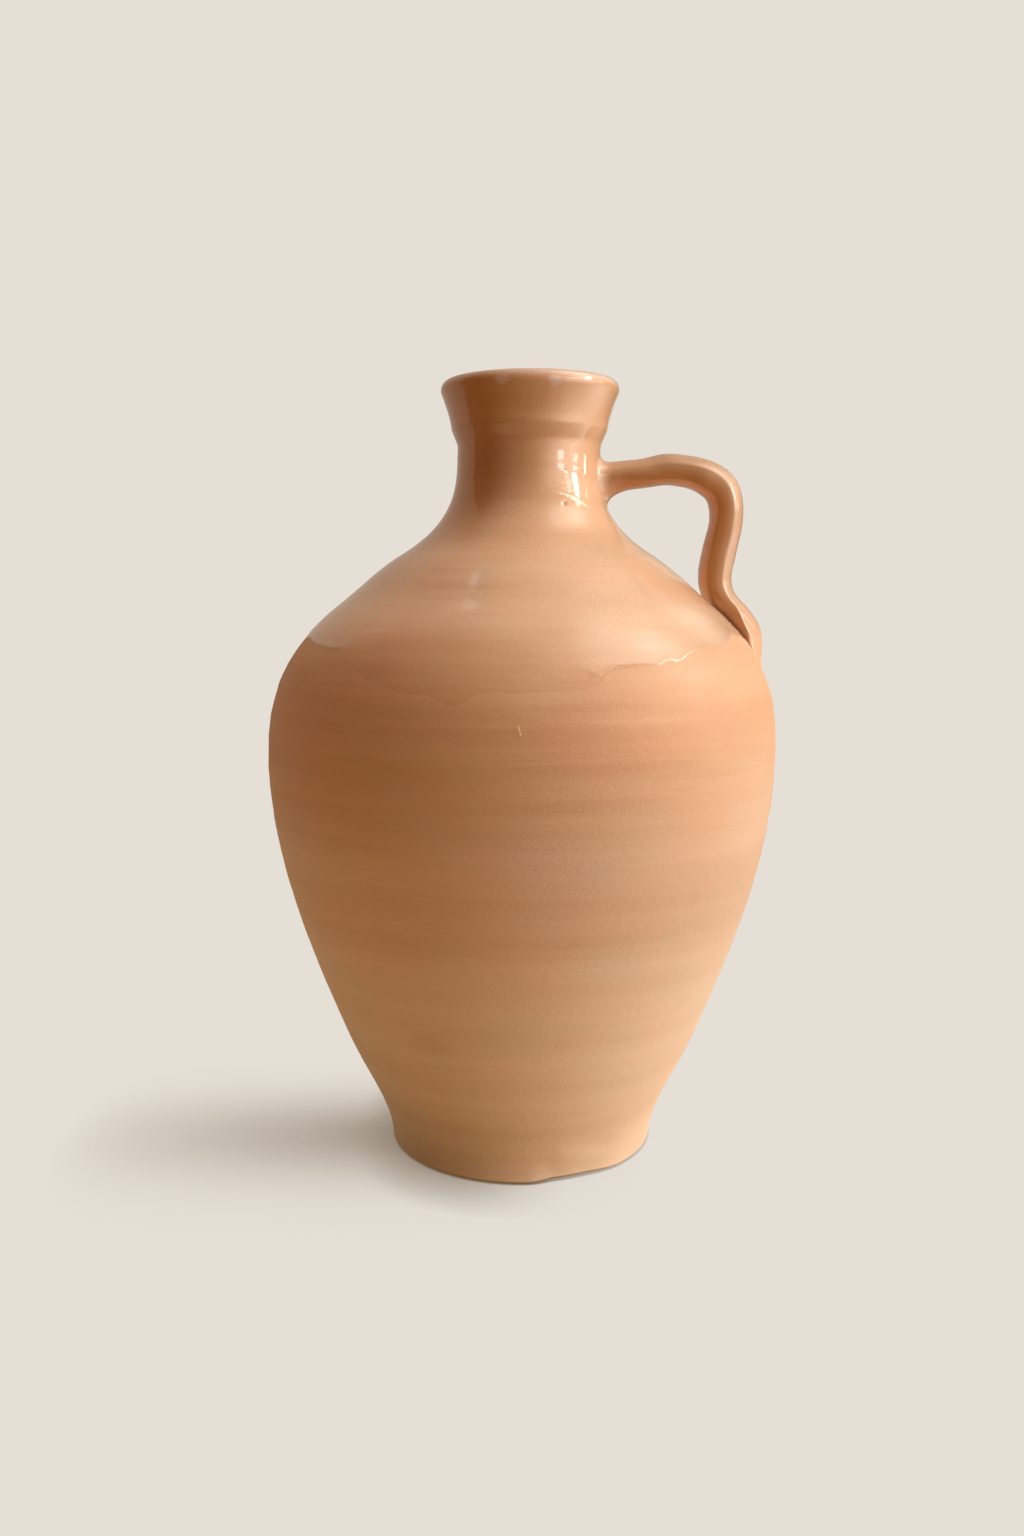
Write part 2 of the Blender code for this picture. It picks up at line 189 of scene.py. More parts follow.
# Painted shade in the crevice under the tail's sides
CREVICE_ACROSS = (-0.45, -0.85)
CREVICE_SHADE = 0.95

# Clay worked round the handle's root: how far it spreads, and how far along the handle it reaches
FLARE_ABOVE = (0.0042, 0.0065)
FLARE_BELOW = (0.0105, 0.0160)
FLARE_SIDE = (0.0035, 0.0065)
ROOT_EDGE_SINK = 0.00004

# Crevice between the tail and the shoulder: part of the width that is tucked in, from where to where up the
# side, and how high a side wall gets all of it
TUCK = 0.13
TUCK_ACROSS = (-0.15, -0.70)
TUCK_SIDE = 0.004

# Lower edge of the glossy glaze: angle round the jug in degrees, and height
GLOSS_EDGE = (
    (-180, 0.2740), (-164, 0.2717), (-146, 0.2682), (-137, 0.2680), (-131, 0.2715), (-127.5, 0.2735),
    (-125.5, 0.2750), (-124, 0.2765), (-119, 0.2770), (-113, 0.2765), (-107, 0.2770), (-101, 0.2760),
    (-92, 0.2710), (-83, 0.2615), (-75, 0.2581), (-70.5, 0.2621), (-63.5, 0.2627), (-60, 0.2616),
    (-58, 0.2641), (-53.5, 0.2634), (-49.5, 0.2666), (-43.5, 0.2680), (-36, 0.2693), (-24, 0.2740),
    (-8, 0.2690), (12, 0.2660), (27, 0.2705), (41, 0.2660), (55, 0.2590), (68, 0.2615),
    (84, 0.2680), (98, 0.2645), (112, 0.2560), (121, 0.2600), (136, 0.2670), (152, 0.2650), (166, 0.2700),
)
# Lower edge of the thin film of glaze that ran on below the gloss
FILM_EDGE = (
    (-180, 0.2735), (-164, 0.2712), (-146, 0.2677), (-137, 0.2656), (-131, 0.2608), (-126, 0.2564),
    (-120, 0.2525), (-114.5, 0.2504), (-109.5, 0.2499), (-104, 0.2451), (-101, 0.2491), (-98, 0.2517),
    (-91.5, 0.2517), (-83.5, 0.2521), (-76, 0.2530), (-72, 0.2600), (-63.5, 0.2620), (-58, 0.2632),
    (-49.5, 0.2658), (-36, 0.2686), (-24, 0.2730), (-8, 0.2680), (12, 0.2650), (27, 0.2690),
    (41, 0.2630), (55, 0.2520), (68, 0.2560), (84, 0.2670), (98, 0.2630), (112, 0.2500),
    (121, 0.2560), (136, 0.2660), (152, 0.2640), (166, 0.2690),
)
GLOSS_SOFTNESS = 0.0006
FADED_SOFTNESS = 0.0070
# Angles between which the gloss fades in and out of its soft edge
FADED_FROM = (-142.0, -130.0)
FADED_TO = (-82.0, -74.0)
# Fine ripple of both edges away from the front: height, waves round the jug, phase, and where it starts
EDGE_RIPPLE = ((0.0006, 11, 0), (0.0004, 29, 40))
RIPPLE_FROM_FRONT = (60.0, 90.0)
EDGE_STEP = 0.25
EDGE_ROUNDING = 9
GLAZE_THICKNESS = 0.00022
GLAZE_EDGE_ROUND = 0.0006
# Heights between which the glaze on the wall gets deeper in colour
DEEP_GLAZE_HEIGHTS = (0.290, 0.345)

# Throwing rings: wavelength, depth, turns of the spiral in one wave, and phase
THROWING_RINGS = (
    (0.0262, 0.00009, 1, 0.4),
    (0.0143, 0.00006, 1, 2.3),
    (0.0087, 0.00004, 2, 4.1),
    (0.0052, 0.00002, 1, 0.9),
)
# How the rings wander up and down round the jug: reach, waves, and phase
RING_WANDER = ((0.0011, 1, 0.6), (0.0006, 2, 2.1))
# They are calmer at the foot and on the neck: heights, and the share that is left
CALM_FOOT_HEIGHTS = (0.06, 0.16)
CALM_FOOT_SHARE = 0.35
CALM_NECK_HEIGHTS = (0.30, 0.34)
CALM_NECK_SHARE = 0.55
# They come and go round the jug: share that does, and how that winds up the wall
RING_UNEVEN = 0.25
RING_WINDING = 31
# All relief starts above the foot's edge and is calmed towards the lip
RELIEF_FULL_HEIGHT = 0.02
LIP_CALM_FROM = 0.385
LIP_CALM = 0.8

# Slow wobble of the wall: depth, waves round the jug, how it winds up the wall, and phase
WALL_SWAY = ((0.00020, 2, 9.0, 0.0), (0.00015, 3, 0.0, 1.3))
SWAY_FULL_RADIUS = 0.05
# The rim sways out on the side away from the handle
RIM_SWAY = 0.0006
RIM_SWAY_FROM = 0.370

# Marks pressed into the wall: angle, height, half width, half length up the wall, and depth
PRESSED_MARKS = (
    (-106.7, 0.3006, 0.0026, 0.0040, 0.00045),
    (-105.1, 0.2893, 0.0050, 0.0028, 0.00060),
    (-64.5, 0.3366, 0.0010, 0.0010, 0.00070),
    (-58.0, 0.0160, 0.0115, 0.0055, 0.00110),
    (-75.0, 0.0120, 0.0045, 0.0100, -0.00035),
    (-117.8, 0.2906, 0.0012, 0.0006, 0.00030),
    (-130.9, 0.2590, 0.0012, 0.0010, -0.00035),
    (-90.9, 0.2354, 0.0006, 0.0032, -0.00020),
    (-48.3, 0.1620, 0.0016, 0.0030, 0.00025),
    (60.0, 0.1900, 0.0060, 0.0040, 0.00050),
    (115.0, 0.2950, 0.0045, 0.0035, 0.00050),
    (150.0, 0.1200, 0.0080, 0.0050, 0.00050),
)

# Pale spots painted in the glaze as painted reflections, and darker stains on the clay: angle, height, half
# width, half length, amount
PALE_REFLECTION_SPOTS = (
    (-106.7, 0.3006, 0.0030, 0.0044, 0.42),
    (-105.1, 0.2893, 0.0054, 0.0030, 0.36),
    (-108.3, 0.3955, 0.0036, 0.0030, 0.50),
    (-75.5, 0.3945, 0.0034, 0.0032, 0.45),
)
STAINS = (
    (-115.9, 0.0808, 0.0130, 0.0060, 1.0),
    (-111.0, 0.0690, 0.0160, 0.0016, 0.6),
    (-50.0, 0.1540, 0.0012, 0.0080, 0.5),
    (130.0, 0.0950, 0.0120, 0.0070, 0.8),
)
# Bands that the wheel left, darker and paler than the clay round them: angle, height, half width, half
# height, and amount
WHEEL_DARK_BANDS = (
    (-72.0, 0.2187, 0.050, 0.0030, 1.0),
    (-77.0, 0.2450, 0.030, 0.0022, 0.7),
    (-76.0, 0.2030, 0.040, 0.0028, 0.8),
    (-60.0, 0.2485, 0.034, 0.0070, 0.7),
    (-75.0, 0.1770, 0.035, 0.0025, 0.6),
    (-110.0, 0.2965, 0.022, 0.0016, 0.8),
    (-118.0, 0.3040, 0.020, 0.0014, 0.7),
    (-112.0, 0.2912, 0.016, 0.0010, 0.6),
    (-130.0, 0.2600, 0.030, 0.0022, 0.6),
    (20.0, 0.2200, 0.050, 0.0030, 0.8),
    (80.0, 0.2350, 0.050, 0.0025, 0.7),
    (150.0, 0.2050, 0.050, 0.0030, 0.8),
)
WHEEL_PALE_BANDS = (
    (-108.0, 0.2372, 0.055, 0.0015, 1.0),
    (-66.0, 0.2392, 0.035, 0.0022, 0.8),
    (-92.0, 0.2090, 0.045, 0.0012, 0.8),
    (-60.0, 0.2290, 0.030, 0.0016, 0.5),
    (-115.0, 0.3005, 0.020, 0.0014, 0.5),
    (-100.0, 0.2270, 0.050, 0.0012, 0.5),
    (-10.0, 0.2400, 0.045, 0.0016, 0.7),
    (110.0, 0.2250, 0.050, 0.0015, 0.8),
    (180.0, 0.2380, 0.050, 0.0014, 0.8),
)
# Honey glaze that ran thicker down the shoulder beside the handle, deepened partly as a painted reflection of
# the handle: angle, lower edge, upper edge
RUN_AND_REFLECTION_BAND = (
    (-58.0, 0.3170, 0.3170),
    (-55.0, 0.3140, 0.3300),
    (-52.0, 0.2905, 0.3290),
    (-46.0, 0.2895, 0.3260),
    (-40.0, 0.2893, 0.3110),
    (-36.0, 0.2890, 0.3030),
    (-24.0, 0.2876, 0.2990),
    (-10.0, 0.2860, 0.2980),
)
RUN_AND_REFLECTION_DEPTH = 0.20
# On the neck the glaze's colour is painted deeper on the side away from the light, as painted shade: depth
# all round, middle and reach of that side
NECK_DEPTH = 0.45
SHADED_SIDE_ANGLE = -142.0
SHADED_SIDE_REACH = (40.0, 16.0)
# Painted shade: a dark line under the foot's edge, and in the crevices beside the handle's tail
FOOT_SHADE_HEIGHTS = (0.0016, 0.0008)
# The foot's painted shade line is thinner on the lit side: middle and reach of that side, and the share of it
# spared there
LIT_SIDE_ANGLE = -15.0
LIT_SIDE_REACH = 75.0
LIT_SIDE_SPARED = 0.6
TAIL_SHADE_HEIGHTS = (0.2620, 0.2660, 0.2830, 0.2880)
TAIL_SHADE_SIDES = (0.0085, 0.0125, 0.0138)
TAIL_SHADE_ANGLE = 30.0
# Painted highlight along the lip's crest
LIP_CREST_HIGHLIGHT = 0.38
LIP_CREST_HIGHLIGHT_HEIGHTS = (0.3958, 0.3986)

# Dent in the foot's edge, where the wet jug was lifted: angles where it starts and ends, lift, depth, height,
# and from where to where it grows towards the edge
DENT_START = (-87.0, -76.0)
DENT_END = (-64.0, -44.0)
DENT_LIFT = 0.0013
DENT_DEPTH = 0.0012
DENT_HEIGHT = 0.0170
DENT_RADII = (0.045, 0.066)

# Colour of the clay at a height, paler low down and on the shoulder partly as painted light
CLAY_COLOURS_AND_PAINTED_LIGHT = (
    (0.035, (0.645, 0.478, 0.326)),
    (0.090, (0.645, 0.462, 0.315)),
    (0.150, (0.635, 0.415, 0.275)),
    (0.215, (0.640, 0.370, 0.210)),
    (0.248, (0.642, 0.354, 0.192)),
    (0.285, (0.770, 0.475, 0.285)),
)
# Tints over that colour: specks, bands, wheel marks, painted shade, patches, fine lines and stains, and a
# painted highlight and painted reflections
SPECK_TINT = (0.70, 0.62, 0.56)
BAND_DARK = (0.940, 0.915, 0.890)
BAND_PALE = (1.040, 1.060, 1.085)
WHEEL_DARK = (0.925, 0.890, 0.855)
WHEEL_PALE = (1.060, 1.075, 1.095)
PAINTED_SHADE_TINT = (0.14, 0.09, 0.06)
YELLOWER = (0.985, 1.000, 0.985)
REDDER = (1.015, 0.975, 0.965)
DARK_LINE = (0.965, 0.950, 0.940)
PALE_LINE = (1.045, 1.055, 1.070)
STAIN_TINT = (0.93, 0.89, 0.85)
# Colour of the painted highlight on the lip's crest and of the painted pale reflections
PAINTED_PALE_COLOUR = (0.82, 0.68, 0.58)
# One pale scratch at the front: x and z of its middle, how it leans, half width and half length, the shares
# of these that are fully pale, and colour
SCRATCH_X = -0.0015
SCRATCH_Z = 0.2354
SCRATCH_LEAN = 0.28
SCRATCH_HALF_WIDTH = 0.0004
SCRATCH_HALF_LENGTH = 0.0025
SCRATCH_CORE = (0.5, 0.8)
SCRATCH_COLOUR = (0.84, 0.62, 0.46)

# Patterns in the clay and the glaze: waves in a metre along x, y and z, detail, and roughness
PATTERNS = {
    "drift": ((9.0, 9.0, 14.0), 2.0, 0.55),
    "patches": ((22.0, 22.0, 26.0), 2.0, 0.55),
    "bands": ((2.4, 2.4, 48.0), 3.0, 0.50),
    "lines": ((20.0, 20.0, 560.0), 2.0, 0.50),
    "clouds": ((30.0, 30.0, 90.0), 3.0, 0.55),
    "grain": ((1300.0, 1300.0, 1300.0), 2.0, 0.60),
    "wiped": ((240.0, 240.0, 1000.0), 2.0, 0.60),
    "ragged_edge": ((160.0, 160.0, 160.0), 3.0, 0.55),
    "glaze_ripple": ((150.0, 150.0, 110.0), 2.0, 0.55),
    "coat_ripple": ((85.0, 85.0, 70.0), 3.0, 0.55),
}
# How far the drift moves the clay's colours up and down, and where the other patterns begin and end
DRIFT_HEIGHT = 0.10
PATCH_RANGE = (0.35, 0.65)
BAND_RANGE = (0.32, 0.68)
DARK_LINE_RANGE = (0.36, 0.28)
PALE_LINE_RANGE = (0.64, 0.72)
# Scattered specks and pits: cells in a metre, share of the cells that has one, its size in the cell, and the
# share of that size with its full depth
SPECKS = (190.0, 0.06, 0.13)
PITS = (130.0, 0.06, 0.09)
SPOT_CORE = 0.4
# Roughness of the clay, and relief of its grain, of the wiped strokes and of the pits in millimetres
CLAY_ROUGHNESS = 0.48
CLOUD_ROUGHNESS = 0.16
GRAIN_HEIGHT = 0.11
WIPED_HEIGHT = 0.20
WIPED_LEAN = 38.0
PIT_DEPTH = 0.30
# Pale dust on the bare clay, seen where it turns away
CLAY_DUST = 0.16
DUST_COLOUR = (1.0, 0.86, 0.72)

# Glaze: tints where it is thick and thin on the walls and on the handle, the handle's deep tint partly
# painted shade, and of the film below the gloss
THICK_GLAZE_TINT = (0.741, 0.539, 0.324)
THIN_GLAZE_TINT = (1.03, 1.05, 1.08)
HANDLE_DEEP_SHADED_TINT = (0.65, 0.46, 0.25)
HANDLE_THIN_LIT_TINT = (0.79, 0.765, 0.74)
FILM_TINT = (0.95, 0.92, 0.89)
# Film: its step in millimetres, and its share of gloss
FILM_STEP = 0.06
FILM_COAT = 0.25
# Roughness under the glaze and of its own surface, and the ripples of both and the bead in millimetres
GLAZED_ROUGHNESS = 0.45
COAT_ROUGHNESS = 0.03
GLAZE_RIPPLE = 0.045
COAT_RIPPLE = 0.070
BEAD_HEIGHT = 0.22
# How much of the clay's streaks shows through on the walls and on the handle
WALL_STREAKS = 1.0
HANDLE_STREAKS = 0.4
# Raggedness of the edges, roundness of the film's edge, and the bead: softness that has one, and its rise
EDGE_RAGGED = 0.0022
FILM_EDGE_ROUND = 0.0004
BEAD_SOFTNESS = (0.0030, 0.0010)
BEAD_RISE = (0.0030, 0.0004)

# Camera
CAMERA_PLACE = (-0.00480, -0.675, 0.297)
CAMERA_PITCH = 8.1
CAMERA_LENS = 30.0
SENSOR_WIDTH = 36.0

# Backdrop and floor as the camera sees them
BACKDROP_COLOUR = (0.791, 0.738, 0.672)
# Floor as it lights the jug: in the jug's shade, near the jug and far off, and where one turns into the next
FLOOR_BOUNCE_SHADED = (0.350, 0.258, 0.166)
FLOOR_BOUNCE_NEAR = (0.755, 0.548, 0.332)
FLOOR_BOUNCE_FAR = (0.160, 0.105, 0.055)
FLOOR_BOUNCE_REACH = (0.28, 0.65)
FLOOR_SHADED_REACH = (0.24, 0.07)
FLOOR_SHADED_SIDE = (-0.005, -0.060)
# Light from all round, light from above, and the dim room that the glaze mirrors
AMBIENT_COLOUR = (0.270, 0.135, 0.051)
AMBIENT_ABOVE = (0.580, 0.405, 0.285)
AMBIENT_ABOVE_RISE = (35.0, 65.0)
ROOM_COLOUR = (0.050, 0.032, 0.018)
# Shadow on the floor: direction that the light comes from, reach, middle and spread across, deepest colour
SHADOW_FROM = (0.80, 0.00, 0.60)
SHADOW_REACH = 0.17
SHADOW_MIDDLE = -0.012
SHADOW_SPREAD = 0.058
SHADOW_TINT = (0.20, 0.12, 0.05)
# Shadow close to the foot
CONTACT_FROM = (0.80, 0.22, 0.56)
CONTACT_REACH = 0.036
CONTACT_SHARE = 1.00
# Dark line where the foot meets the floor: how near the foot is, how much of it covers the place, deepest
# share, and where across the floor it fades and by how much
FOOT_LINE_REACH = 0.0026
FOOT_LINE_COVER = (0.34, 0.58)
FOOT_LINE_SHARE = 0.92
FOOT_LINE_FADES = (-0.010, 0.075)
FOOT_LINE_FADE = 0.6
# Across the floor, from where the shadows begin to where they are full
SHADOW_BEGINS = (0.080, -0.030)
CONTACT_BEGINS = (0.040, -0.035)
# Soft lights: what each lights, strength, colour, angle that it fills, angle round the jug, and angle above
# the floor
SOFT_LIGHTS = (
    ("jug", 4.00, (1.00, 1.04, 1.09), 50.0, -10.0, 26.0),
    ("jug", 0.21, (1.00, 0.88, 0.76), 90.0, -165.0, 50.0),
    ("floor", 3.00, (1.00, 1.00, 1.00), 80.0, -10.0, 62.0),
)
FLOOR_SIZE = 14.0
SHADE_SAMPLES = 8

# What the glaze mirrors: directions in degrees round from straight behind the jug and up from the floor
BACKDROP_LEFT = (-82.5, -81.5)
BACKDROP_RIGHT = (25.0, 23.0)
BACKDROP_MIRRORED = (0.48, 0.40, 0.32)
FLOOR_MIRRORED = (0.60, 0.47, 0.28)
FLOOR_MIRRORED_RISE = (-28.5, -30.5)
# The floor mirrors as it is seen from this height
MIRROR_HEIGHT = 0.33
CEILING_RISE = (46.0, 53.0)
CEILING_COLOUR = (0.34, 0.27, 0.20)
# Bright openings: direction round and up, half width, half height, share of it that is soft edge, lean of its
# sides, slope of its top and bottom, and brightness
WINDOWS = (
    (98.5, 21.0, 5.8, 10.8, 0.3, -0.48, 0.00, 22.0),
    (121.0, 11.8, 8.5, 1.5, 0.6, 0.00, -0.29, 16.0),
    (128.0, 7.0, 9.0, 2.4, 0.8, 0.00, 0.00, 9.0),
    (101.0, 7.2, 7.0, 1.6, 0.7, 0.00, 0.10, 8.0),
    (107.0, 4.6, 1.6, 0.8, 0.6, 0.00, 0.00, 14.0),
    (112.0, 22.0, 6.5, 9.0, 0.6, -0.50, 0.00, 4.5),
    (102.0, 33.5, 38.0, 1.8, 0.6, 0.00, 0.00, 8.5),
    (91.0, 36.0, 8.0, 6.0, 1.0, 0.00, 0.00, 9.0),
    (115.0, 0.0, 46.0, 40.0, 1.0, 0.00, 0.00, 2.6),
    (75.0, -18.0, 36.0, 18.0, 1.0, 0.00, 0.00, 2.4),
    (142.0, 14.0, 30.0, 20.0, 1.0, 0.00, 0.00, 1.5),
    (97.0, 60.0, 52.0, 20.0, 0.8, 0.00, 0.00, 2.4),
    (84.0, 47.0, 32.0, 14.0, 1.0, 0.00, 0.00, 2.2),
    (44.0, 30.0, 18.0, 24.0, 1.0, 0.00, 0.00, 0.8),
    (79.0, 7.5, 3.2, 3.0, 0.5, 0.00, 0.00, 10.0),
    (75.6, 22.0, 1.8, 5.0, 0.6, 0.00, 0.00, 6.0),
)
WINDOW_COLOUR = (1.0, 0.97, 0.93)
# Only the first mirror shows them: mirrors passed, with the first counted as 1
FIRST_MIRROR = 1.5


def smooth_step(low, high, value):
    share = np.clip((value - low) / (high - low), 0.0, 1.0)
    return share * share * (3.0 - 2.0 * share)


def wall_span(height):
    """Station below each height, and how far the height is from there to the next, from 0 to 1."""
    heights = WALL_STATIONS[:, 0]
    below = np.clip(np.searchsorted(heights, height, side="right") - 1, 0, len(heights) - 2)
    rise = heights[below + 1] - heights[below]
    return below, rise, (height - heights[below]) / rise


def cubic_between(start, end, start_pull, end_pull, t):
    """A cubic from start to end while t goes from 0 to 1, with the pull at each end."""
    return (
        (2 * t**3 - 3 * t**2 + 1) * start
        + (t**3 - 2 * t**2 + t) * start_pull
        + (3 * t**2 - 2 * t**3) * end
        + (t**3 - t**2) * end_pull
    )


def wall_radius(height):
    """Outside radius of the clay: a cubic from station to station, with each station's slope."""
    below, rise, t = wall_span(np.asarray(height, float))
    radius, slope = WALL_STATIONS[:, 1], WALL_STATIONS[:, 2]
    return cubic_between(radius[below], radius[below + 1], rise * slope[below], rise * slope[below + 1], t)


def wall_slope(height):
    below, rise, t = wall_span(np.asarray(height, float))
    radius, slope = WALL_STATIONS[:, 1], WALL_STATIONS[:, 2]
    return (
        (6 * t**2 - 6 * t) * (radius[below] - radius[below + 1]) / rise
        + (3 * t**2 - 4 * t + 1) * slope[below]
        + (3 * t**2 - 2 * t) * slope[below + 1]
    )


def inner_radius(height):
    """Inside radius, which follows the outside without its small steps."""
    height = np.asarray(height, float)
    low = wall_radius(height - LINING_CALM)
    high = wall_radius(np.minimum(height + LINING_CALM, LIP_HEIGHT))
    slope = (high - low) / (2 * LINING_CALM)
    level_thickness = np.interp(height, CLAY_HEIGHTS, CLAY_THICKNESS) * np.hypot(1, slope)
    return (low + high) / 2 - level_thickness


def lean_shift(height):
    return UPPER_LEAN * np.maximum(height - BELLY_SEAM, 0.0)


def rounding_weights(count):
    weights = np.hanning(count)
    return weights / weights.sum()


def edge_height(points, around):
    """Height of a glaze edge at each angle: a rounded line through its points, closed round the jug."""
    angles = np.arange(-180.0, 180.0, EDGE_STEP)
    listed = np.array(points)
    line = np.interp(angles, listed[:, 0], listed[:, 1], period=360.0)
    ripple = sum(rise * np.sin(np.radians(waves * angles + phase)) for rise, waves, phase in EDGE_RIPPLE)
    ends = EDGE_ROUNDING // 2
    padded = np.concatenate((line[-ends:], line, line[:ends]))
    line = np.convolve(padded, rounding_weights(EDGE_ROUNDING), mode="valid")
    behind = smooth_step(*RIPPLE_FROM_FRONT, np.abs(angles - FRONT))
    return np.interp(around, angles, line + ripple * behind, period=360.0)


def gloss_softness(around):
    """How gradually the gloss starts: crisp at most angles, faded at the front of the shoulder."""
    faded = smooth_step(*FADED_FROM, around) * (1.0 - smooth_step(*FADED_TO, around))
    return GLOSS_SOFTNESS + (FADED_SOFTNESS - GLOSS_SOFTNESS) * faded


def turn_between(around, angle):
    """Difference between two angles in degrees, from -180 to 180."""
    return (around - angle + 180.0) % 360.0 - 180.0


def ring_relief(around, height):
    """Throwing rings, as spirals that wander a little round the jug."""
    turned = np.radians(around)
    wander = sum(reach * np.sin(waves * turned + phase) for reach, waves, phase in RING_WANDER)
    relief = np.zeros_like(height)
    for wave, depth, turns, phase in THROWING_RINGS:
        relief += depth * np.sin(math.tau * (height + wander) / wave + turns * turned + phase)
    calm_foot = CALM_FOOT_SHARE + (1.0 - CALM_FOOT_SHARE) * smooth_step(*CALM_FOOT_HEIGHTS, height)
    calm_neck = 1.0 - (1.0 - CALM_NECK_SHARE) * smooth_step(*CALM_NECK_HEIGHTS, height)
    uneven = 1.0 - RING_UNEVEN + RING_UNEVEN * np.sin(2 * turned + RING_WINDING * height)
    return relief * calm_foot * calm_neck * uneven


def off_spot(around, height, angle, level, half_width, half_length):
    """Distance over the wall from a spot's middle, squared, as 1 at the spot's edge."""
    sideways = np.radians(turn_between(around, angle)) * wall_radius(level) / half_width
    upwards = (height - level) / half_length
    return sideways**2 + upwards**2


def pressed_relief(around, height):
    relief = np.zeros_like(height)
    for *spot, depth in PRESSED_MARKS:
        relief -= depth * np.exp(-off_spot(around, height, *spot))
    return relief


def spots(listed, around, height):
    """Soft oval spots on the wall: 0 away from them, and each spot's own amount in its middle."""
    amount = np.zeros_like(height)
    for *spot, most in listed:
        amount += most * np.exp(-(off_spot(around, height, *spot) ** 2))
    return amount


def glaze_relief(around, height):
    """The glaze stands proud of the clay and ends in a rounded edge."""
    rise = height - edge_height(GLOSS_EDGE, around)
    soft = gloss_softness(around)
    return GLAZE_THICKNESS * smooth_step(-GLAZE_EDGE_ROUND - soft, GLAZE_EDGE_ROUND + soft, rise)


def dent_amount(around, height):
    start = smooth_step(*DENT_START, around)
    end = 1.0 - smooth_step(*DENT_END, around)
    return start * end * (1.0 - smooth_step(0.0, DENT_HEIGHT, height))


def sway_out_of_round(around, height):
    """The slow wobble of a wall that was thrown by hand."""
    turned = np.radians(around)
    sway = RIM_SWAY * smooth_step(RIM_SWAY_FROM, LIP_HEIGHT, height) * np.maximum(-np.cos(turned), 0.0)
    for depth, waves, winding, phase in WALL_SWAY:
        sway += depth * np.sin(waves * turned + winding * height + phase)
    return sway


def mesh_points(piece):
    flat = np.empty(len(piece.data.vertices) * 3)
    piece.data.vertices.foreach_get("co", flat)
    return flat.reshape(-1, 3)


def set_mesh_points(piece, points):
    piece.data.vertices.foreach_set("co", points.ravel())
    piece.data.update()


def set_point_values(piece, **listed):
    """Keeps values on the points of a piece, for its material to read."""
    for name, values in listed.items():
        attribute = piece.data.attributes.new(name, "FLOAT", "POINT")
        attribute.data.foreach_set("value", np.ascontiguousarray(values, np.float32))


def begin_piece(name, size):
    """Adds the plane that a piece is drawn from, alone in the selection and open for editing."""
    bpy.ops.object.select_all(action="DESELECT")
    bpy.ops.mesh.primitive_plane_add(size=size, location=(0, 0, 0))
    piece = bpy.context.active_object
    piece.name = name
    piece.data.name = name
    bpy.ops.object.mode_set(mode="EDIT")
    return piece


def select_where(piece, wanted):
    """Selects the points of the open piece whose place passes the test."""
    bpy.ops.mesh.select_mode(type="VERT")
    bpy.ops.mesh.select_all(action="DESELECT")
    opened = bmesh.from_edit_mesh(piece.data)
    for point in opened.verts:
        point.select = wanted(point.co)
    opened.select_flush_mode()
    bmesh.update_edit_mesh(piece.data)


def draw_on(places, start):
    """Extrudes the selected point from place to place."""
    here = start
    for radius, height in places:
        bpy.ops.mesh.extrude_region_move(
            TRANSFORM_OT_translate={"value": (radius - here[0], 0, height - here[1])}
        )
        here = (radius, height)


def near(place):
    def test(point):
        return abs(point.x - place[0]) + abs(point.z - place[1]) < SAME_PLACE
    return test


def cut_long_edges(piece, cuts, longest):
    """Cuts the section's edges into fine rows, apart from the short ones at its ends."""
    bpy.ops.mesh.select_mode(type="EDGE")
    bpy.ops.mesh.select_all(action="DESELECT")
    opened = bmesh.from_edit_mesh(piece.data)
    for edge in opened.edges:
        edge.select = edge.calc_length() > longest
    bmesh.update_edit_mesh(piece.data)
    bpy.ops.mesh.subdivide(number_cuts=cuts)
    bpy.ops.mesh.select_mode(type="VERT")


def apply_modifier(piece, kind, **settings):
    bpy.ops.object.modifier_add(type=kind)
    modifier = piece.modifiers[-1]
    for name, value in settings.items():
        setattr(modifier, name, value)
    bpy.ops.object.modifier_apply(modifier=modifier.name)


def turned_piece(name, outside, inside, cuts, closed=True):
    """Draws half a section, up the outside and back along the inside, and turns it round the jug's axis."""
    piece = begin_piece(name, MILLIMETRE)
    bpy.ops.mesh.merge(type="CENTER")
    bpy.ops.transform.translate(value=(outside[0][0], 0, outside[0][1]))
    draw_on(outside[1:], outside[0])
    cut_long_edges(piece, cuts, SEAM_MARGIN * 2)
    select_where(piece, near(outside[-1]))
    draw_on(inside, outside[-1])
    if closed:
        first, last = near(outside[0]), near(inside[-1])
        select_where(piece, lambda point: first(point) or last(point))
        bpy.ops.mesh.edge_face_add()
    bpy.ops.object.mode_set(mode="OBJECT")
    apply_modifier(
        piece, "SCREW", axis="Z", steps=TURN_STEPS, render_steps=TURN_STEPS, use_merge_vertices=True,
        merge_threshold=AXIS_MERGE,
    )
    bpy.ops.object.mode_set(mode="EDIT")
    bpy.ops.mesh.select_all(action="SELECT")
    bpy.ops.mesh.remove_doubles(threshold=SAME_PLACE)
    bpy.ops.mesh.normals_make_consistent(inside=False)
    bpy.ops.object.mode_set(mode="OBJECT")
    bpy.ops.object.shade_smooth_by_angle(angle=math.radians(SMOOTH_ANGLE))
    return piece


def wall_relief(around, height):
    """How far the worked surface stands off the plain wall."""
    relief = ring_relief(around, height) + pressed_relief(around, height) + glaze_relief(around, height)
    relief *= smooth_step(FOOT_EDGE_ROUND, RELIEF_FULL_HEIGHT, height)
    return relief * (1.0 - LIP_CALM * smooth_step(LIP_CALM_FROM, LIP_HEIGHT, height))


def past_edge(rise):
    return smooth_step(-GLAZE_EDGE_ROUND, GLAZE_EDGE_ROUND, rise)


